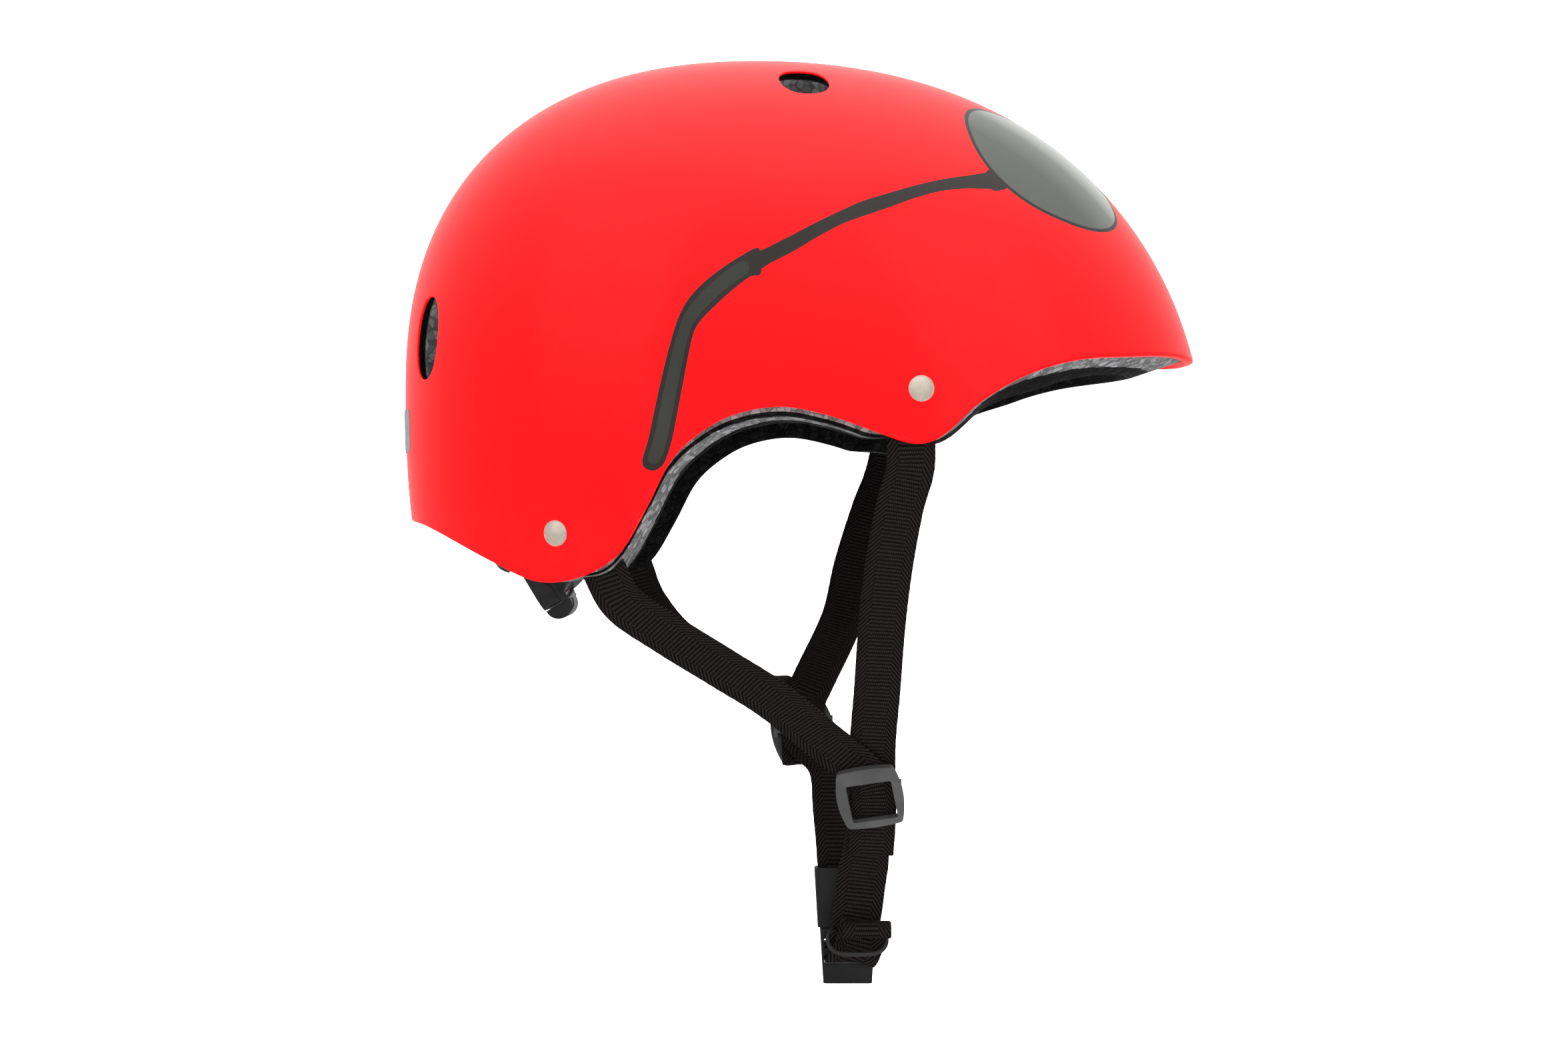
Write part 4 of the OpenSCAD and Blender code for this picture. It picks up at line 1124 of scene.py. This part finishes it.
# --- Pads
def pillow(n, pull, size, power):
    """A square of n by n cells with sides pulled in, and how far its middle rises above its edges."""
    line = np.linspace(-1, 1, n + 1)
    S, T = np.meshgrid(line, line, indexing="ij")
    A, B = S * np.sqrt(1 - pull * T ** 4) * size, T * np.sqrt(1 - pull * S ** 4) * size
    return A, B, ((1 - S ** power) * (1 - T ** power)) ** 0.5


def pillow_faces(n, k, far):
    """Two facing grids and the wall between them, from point k; far orders the far cells' corners."""
    m = n + 1
    faces = []
    for i in range(n):
        for j in range(n):
            q = [k + i * m + j, k + (i + 1) * m + j, k + (i + 1) * m + j + 1, k + i * m + j + 1]
            faces += [tuple(q), tuple(q[c] + m * m for c in far)]
        for a, b in ((i * m, (i + 1) * m), ((i + 1) * m + n, i * m + n), (i + 1, i),
                     (n * m + i, n * m + i + 1)):
            faces.append((k + b, k + a, k + a + m * m, k + b + m * m))
    return faces


def pad_shape(parts, n=26, gap=1.3):
    """Closed crowned forms on the foam's inside. Each part: azimuths and fractions of the way down."""
    A, B, rise = pillow(n, 0.5, 0.9, 4)
    crown = PAD_T * 0.8 * (0.3 + 0.7 * rise)
    verts, faces = [], []
    for az_0, az_1, u_0, u_1 in parts:
        az, u = (az_0 + az_1) / 2 + (az_1 - az_0) / 2 * A, (u_0 + u_1) / 2 + (u_1 - u_0) / 2 * B
        faces += pillow_faces(n, len(verts), (0, 3, 2, 1))
        for deeper in (gap + 0 * az, gap + crown):
            verts += list(foam_inside(az, u, deeper).reshape(-1, 3))
    return verts, faces


def puffed(name, parts, cap=1.1, voxel=2.6):
    """A pad: remeshed, swollen a little by cloth under pressure, then smoothed and subdivided."""
    verts, faces = pad_shape(parts)
    obj = make(name, verts, faces, pad_mat)
    fix_normals(obj)
    mod = obj.modifiers.new("remesh", "REMESH")
    mod.mode, mod.voxel_size = "VOXEL", voxel * 0.001
    apply(obj)
    before = np.array([v.co[:] for v in obj.data.vertices])
    mod = obj.modifiers.new("cloth", "CLOTH")
    s = mod.settings
    s.quality, s.mass, s.use_pressure, s.uniform_pressure_force = 5, 0.1, True, 3.0
    s.tension_stiffness = s.compression_stiffness = 25
    s.shear_stiffness, s.bending_stiffness = 8, 1.5
    s.effector_weights.gravity = 0
    for f in range(1, 13):
        scene.frame_set(f)
    apply(obj)
    scene.frame_set(1)
    after = np.array([v.co[:] for v in obj.data.vertices])
    move = after - before
    size = np.linalg.norm(move, axis=1, keepdims=True)
    after = before + move * np.minimum(1, cap * 0.001 / np.maximum(size, 1e-9))
    obj.data.vertices.foreach_set("co", after.astype(np.float32).ravel())
    mod = obj.modifiers.new("smooth", "SMOOTH")
    mod.factor, mod.iterations = 0.5, 3
    mod = obj.modifiers.new("sub", "SUBSURF")
    mod.levels = mod.render_levels = 1
    apply(obj)
    return obj


for name, node, parts in (
        ("crown_cushions", "crown_pad", [(az - 33, az + 33, 0.1, 0.35) for az in (45, 135, 225, 315)]),
        ("brow_cushion", "brow_pad", [(-34, 34, 0.7, 0.88)]),
        ("right_temple_cushion", "right_temple_pad", [(-106, -50, 0.62, 0.95)]),
        ("left_temple_cushion", "left_temple_pad", [(50, 106, 0.62, 0.95)]),
        ("right_rear_cushion", "right_rear_pad", [(-139, -109, 0.5, 0.76)]),
        ("left_rear_cushion", "left_rear_pad", [(109, 139, 0.5, 0.76)])):
    piece = puffed(name, parts)
    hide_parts(node)
    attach(piece, "helmet")


def nape_cushion():
    """The nape pad on the cradle: a rounded tablet standing in the cradle's own plane."""
    lean, seat_x, seat_z, half_wide, half_tall, middle, face, n = 31, -94.5, -53, 19, 19.5, -9.5, 9.3, 30
    s, c = sind(lean), cosd(lean)
    A, B, rise = pillow(n, 0.45, 0.95, 6)
    y, zl = half_wide * A, middle + half_tall * B
    channel = 0.7 * np.exp(-((zl - middle) / 1.3) ** 2)
    verts = [np.stack([seat_x + x * c - zl * s, y, seat_z + x * s + zl * c], -1).reshape(-1, 3)
             for x in (face + 0 * A, face + 2.6 * (0.35 + 0.65 * rise) - channel)]
    obj = make("nape_cushion", np.concatenate(verts), pillow_faces(n, 0, (3, 2, 1, 0)), pad_mat)
    fix_normals(obj)
    return obj


nape = nape_cushion()
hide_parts("nape_pad")
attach(nape, "helmet")

# --- Studio
def sweep():
    """Floor that curves up into the wall behind."""
    front, bend_from, bend, floor, top, half = -2500, 1300, 500, -450, 2600, 3500
    profile = [(front, floor)]
    profile += [(bend_from + bend * math.sin(a), floor + bend - bend * math.cos(a))
                for a in np.linspace(0, math.pi / 2, 13)]
    profile.append((bend_from + bend, top))
    verts = [[x, y, z] for y, z in profile for x in (-half, half)]
    faces = [(2 * i, 2 * i + 1, 2 * i + 3, 2 * i + 2) for i in range(len(profile) - 1)]
    pale = (0.95, 0.95, 0.95, 1)
    paint = principled("sweep_white", {"Base Color": pale, "Roughness": 0.9, "Emission Color": pale,
                                       "Emission Strength": 0.95})
    obj = make("studio_sweep", verts, faces, paint)
    obj.visible_glossy = False


def softbox(name, at, aim, w, h, power):
    light = bpy.data.lights.new(name, "AREA")
    light.shape, light.size, light.size_y, light.energy = "RECTANGLE", w, h, power
    obj = bpy.data.objects.new(name, light)
    obj.location = at
    obj.rotation_euler = (Vector(aim) - Vector(at)).to_track_quat("-Z", "Y").to_euler()
    obj.visible_glossy = False
    scene.collection.objects.link(obj)


def studio_world():
    """Grey below, white above, for the reflections on the shell."""
    world = bpy.data.worlds.new("studio")
    world.use_nodes = True
    tree = world.node_tree
    sky, height, split, where = (tree.nodes.new("ShaderNode" + kind)
                                 for kind in ("ValToRGB", "MapRange", "SeparateXYZ", "TexCoord"))
    height.inputs["From Min"].default_value, height.inputs["From Max"].default_value = -1.0, 1.0
    stops = sky.color_ramp.elements
    for place, grey in ((0.3, 0.13), (0.52, 0.38), (0.82, 0.75)):
        stops.new(place).color = (grey, grey, grey, 1)
    stops[0].color, stops[-1].color = (0.13, 0.13, 0.13, 1), (1.35, 1.35, 1.35, 1)
    for source, target in ((where.outputs["Generated"], split.inputs[0]),
                           (split.outputs["Z"], height.inputs["Value"]),
                           (height.outputs["Result"], sky.inputs["Fac"]),
                           (sky.outputs["Color"], tree.nodes["Background"].inputs["Color"])):
        tree.links.new(source, target)
    tree.nodes["Background"].inputs["Strength"].default_value = 1.0
    scene.world = world


def side_camera():
    cam = bpy.data.cameras.new("camera")
    cam.lens, cam.sensor_width = 68.42, 36
    camera = bpy.data.objects.new("camera", cam)
    camera.location = (0, -1.0, -0.05)
    camera.rotation_euler = (math.pi / 2, 0, 0)
    scene.collection.objects.link(camera)
    scene.camera = camera


sweep()
softbox("key_left", (-1.3, -1.5, 0.9), (0, 0, 0), 1.5, 1.8, 26)
softbox("key_right", (1.4, -1.4, 0.7), (0, 0, 0), 1.3, 1.8, 22)
softbox("overhead", (0.1, 0.1, 1.6), (0, 0, 0), 1.8, 1.8, 22)
softbox("low_fill", (0.2, -1.6, -0.35), (0, 0, -0.05), 2.2, 0.5, 6)
studio_world()
side_camera()
scene.view_settings.view_transform = "Standard"
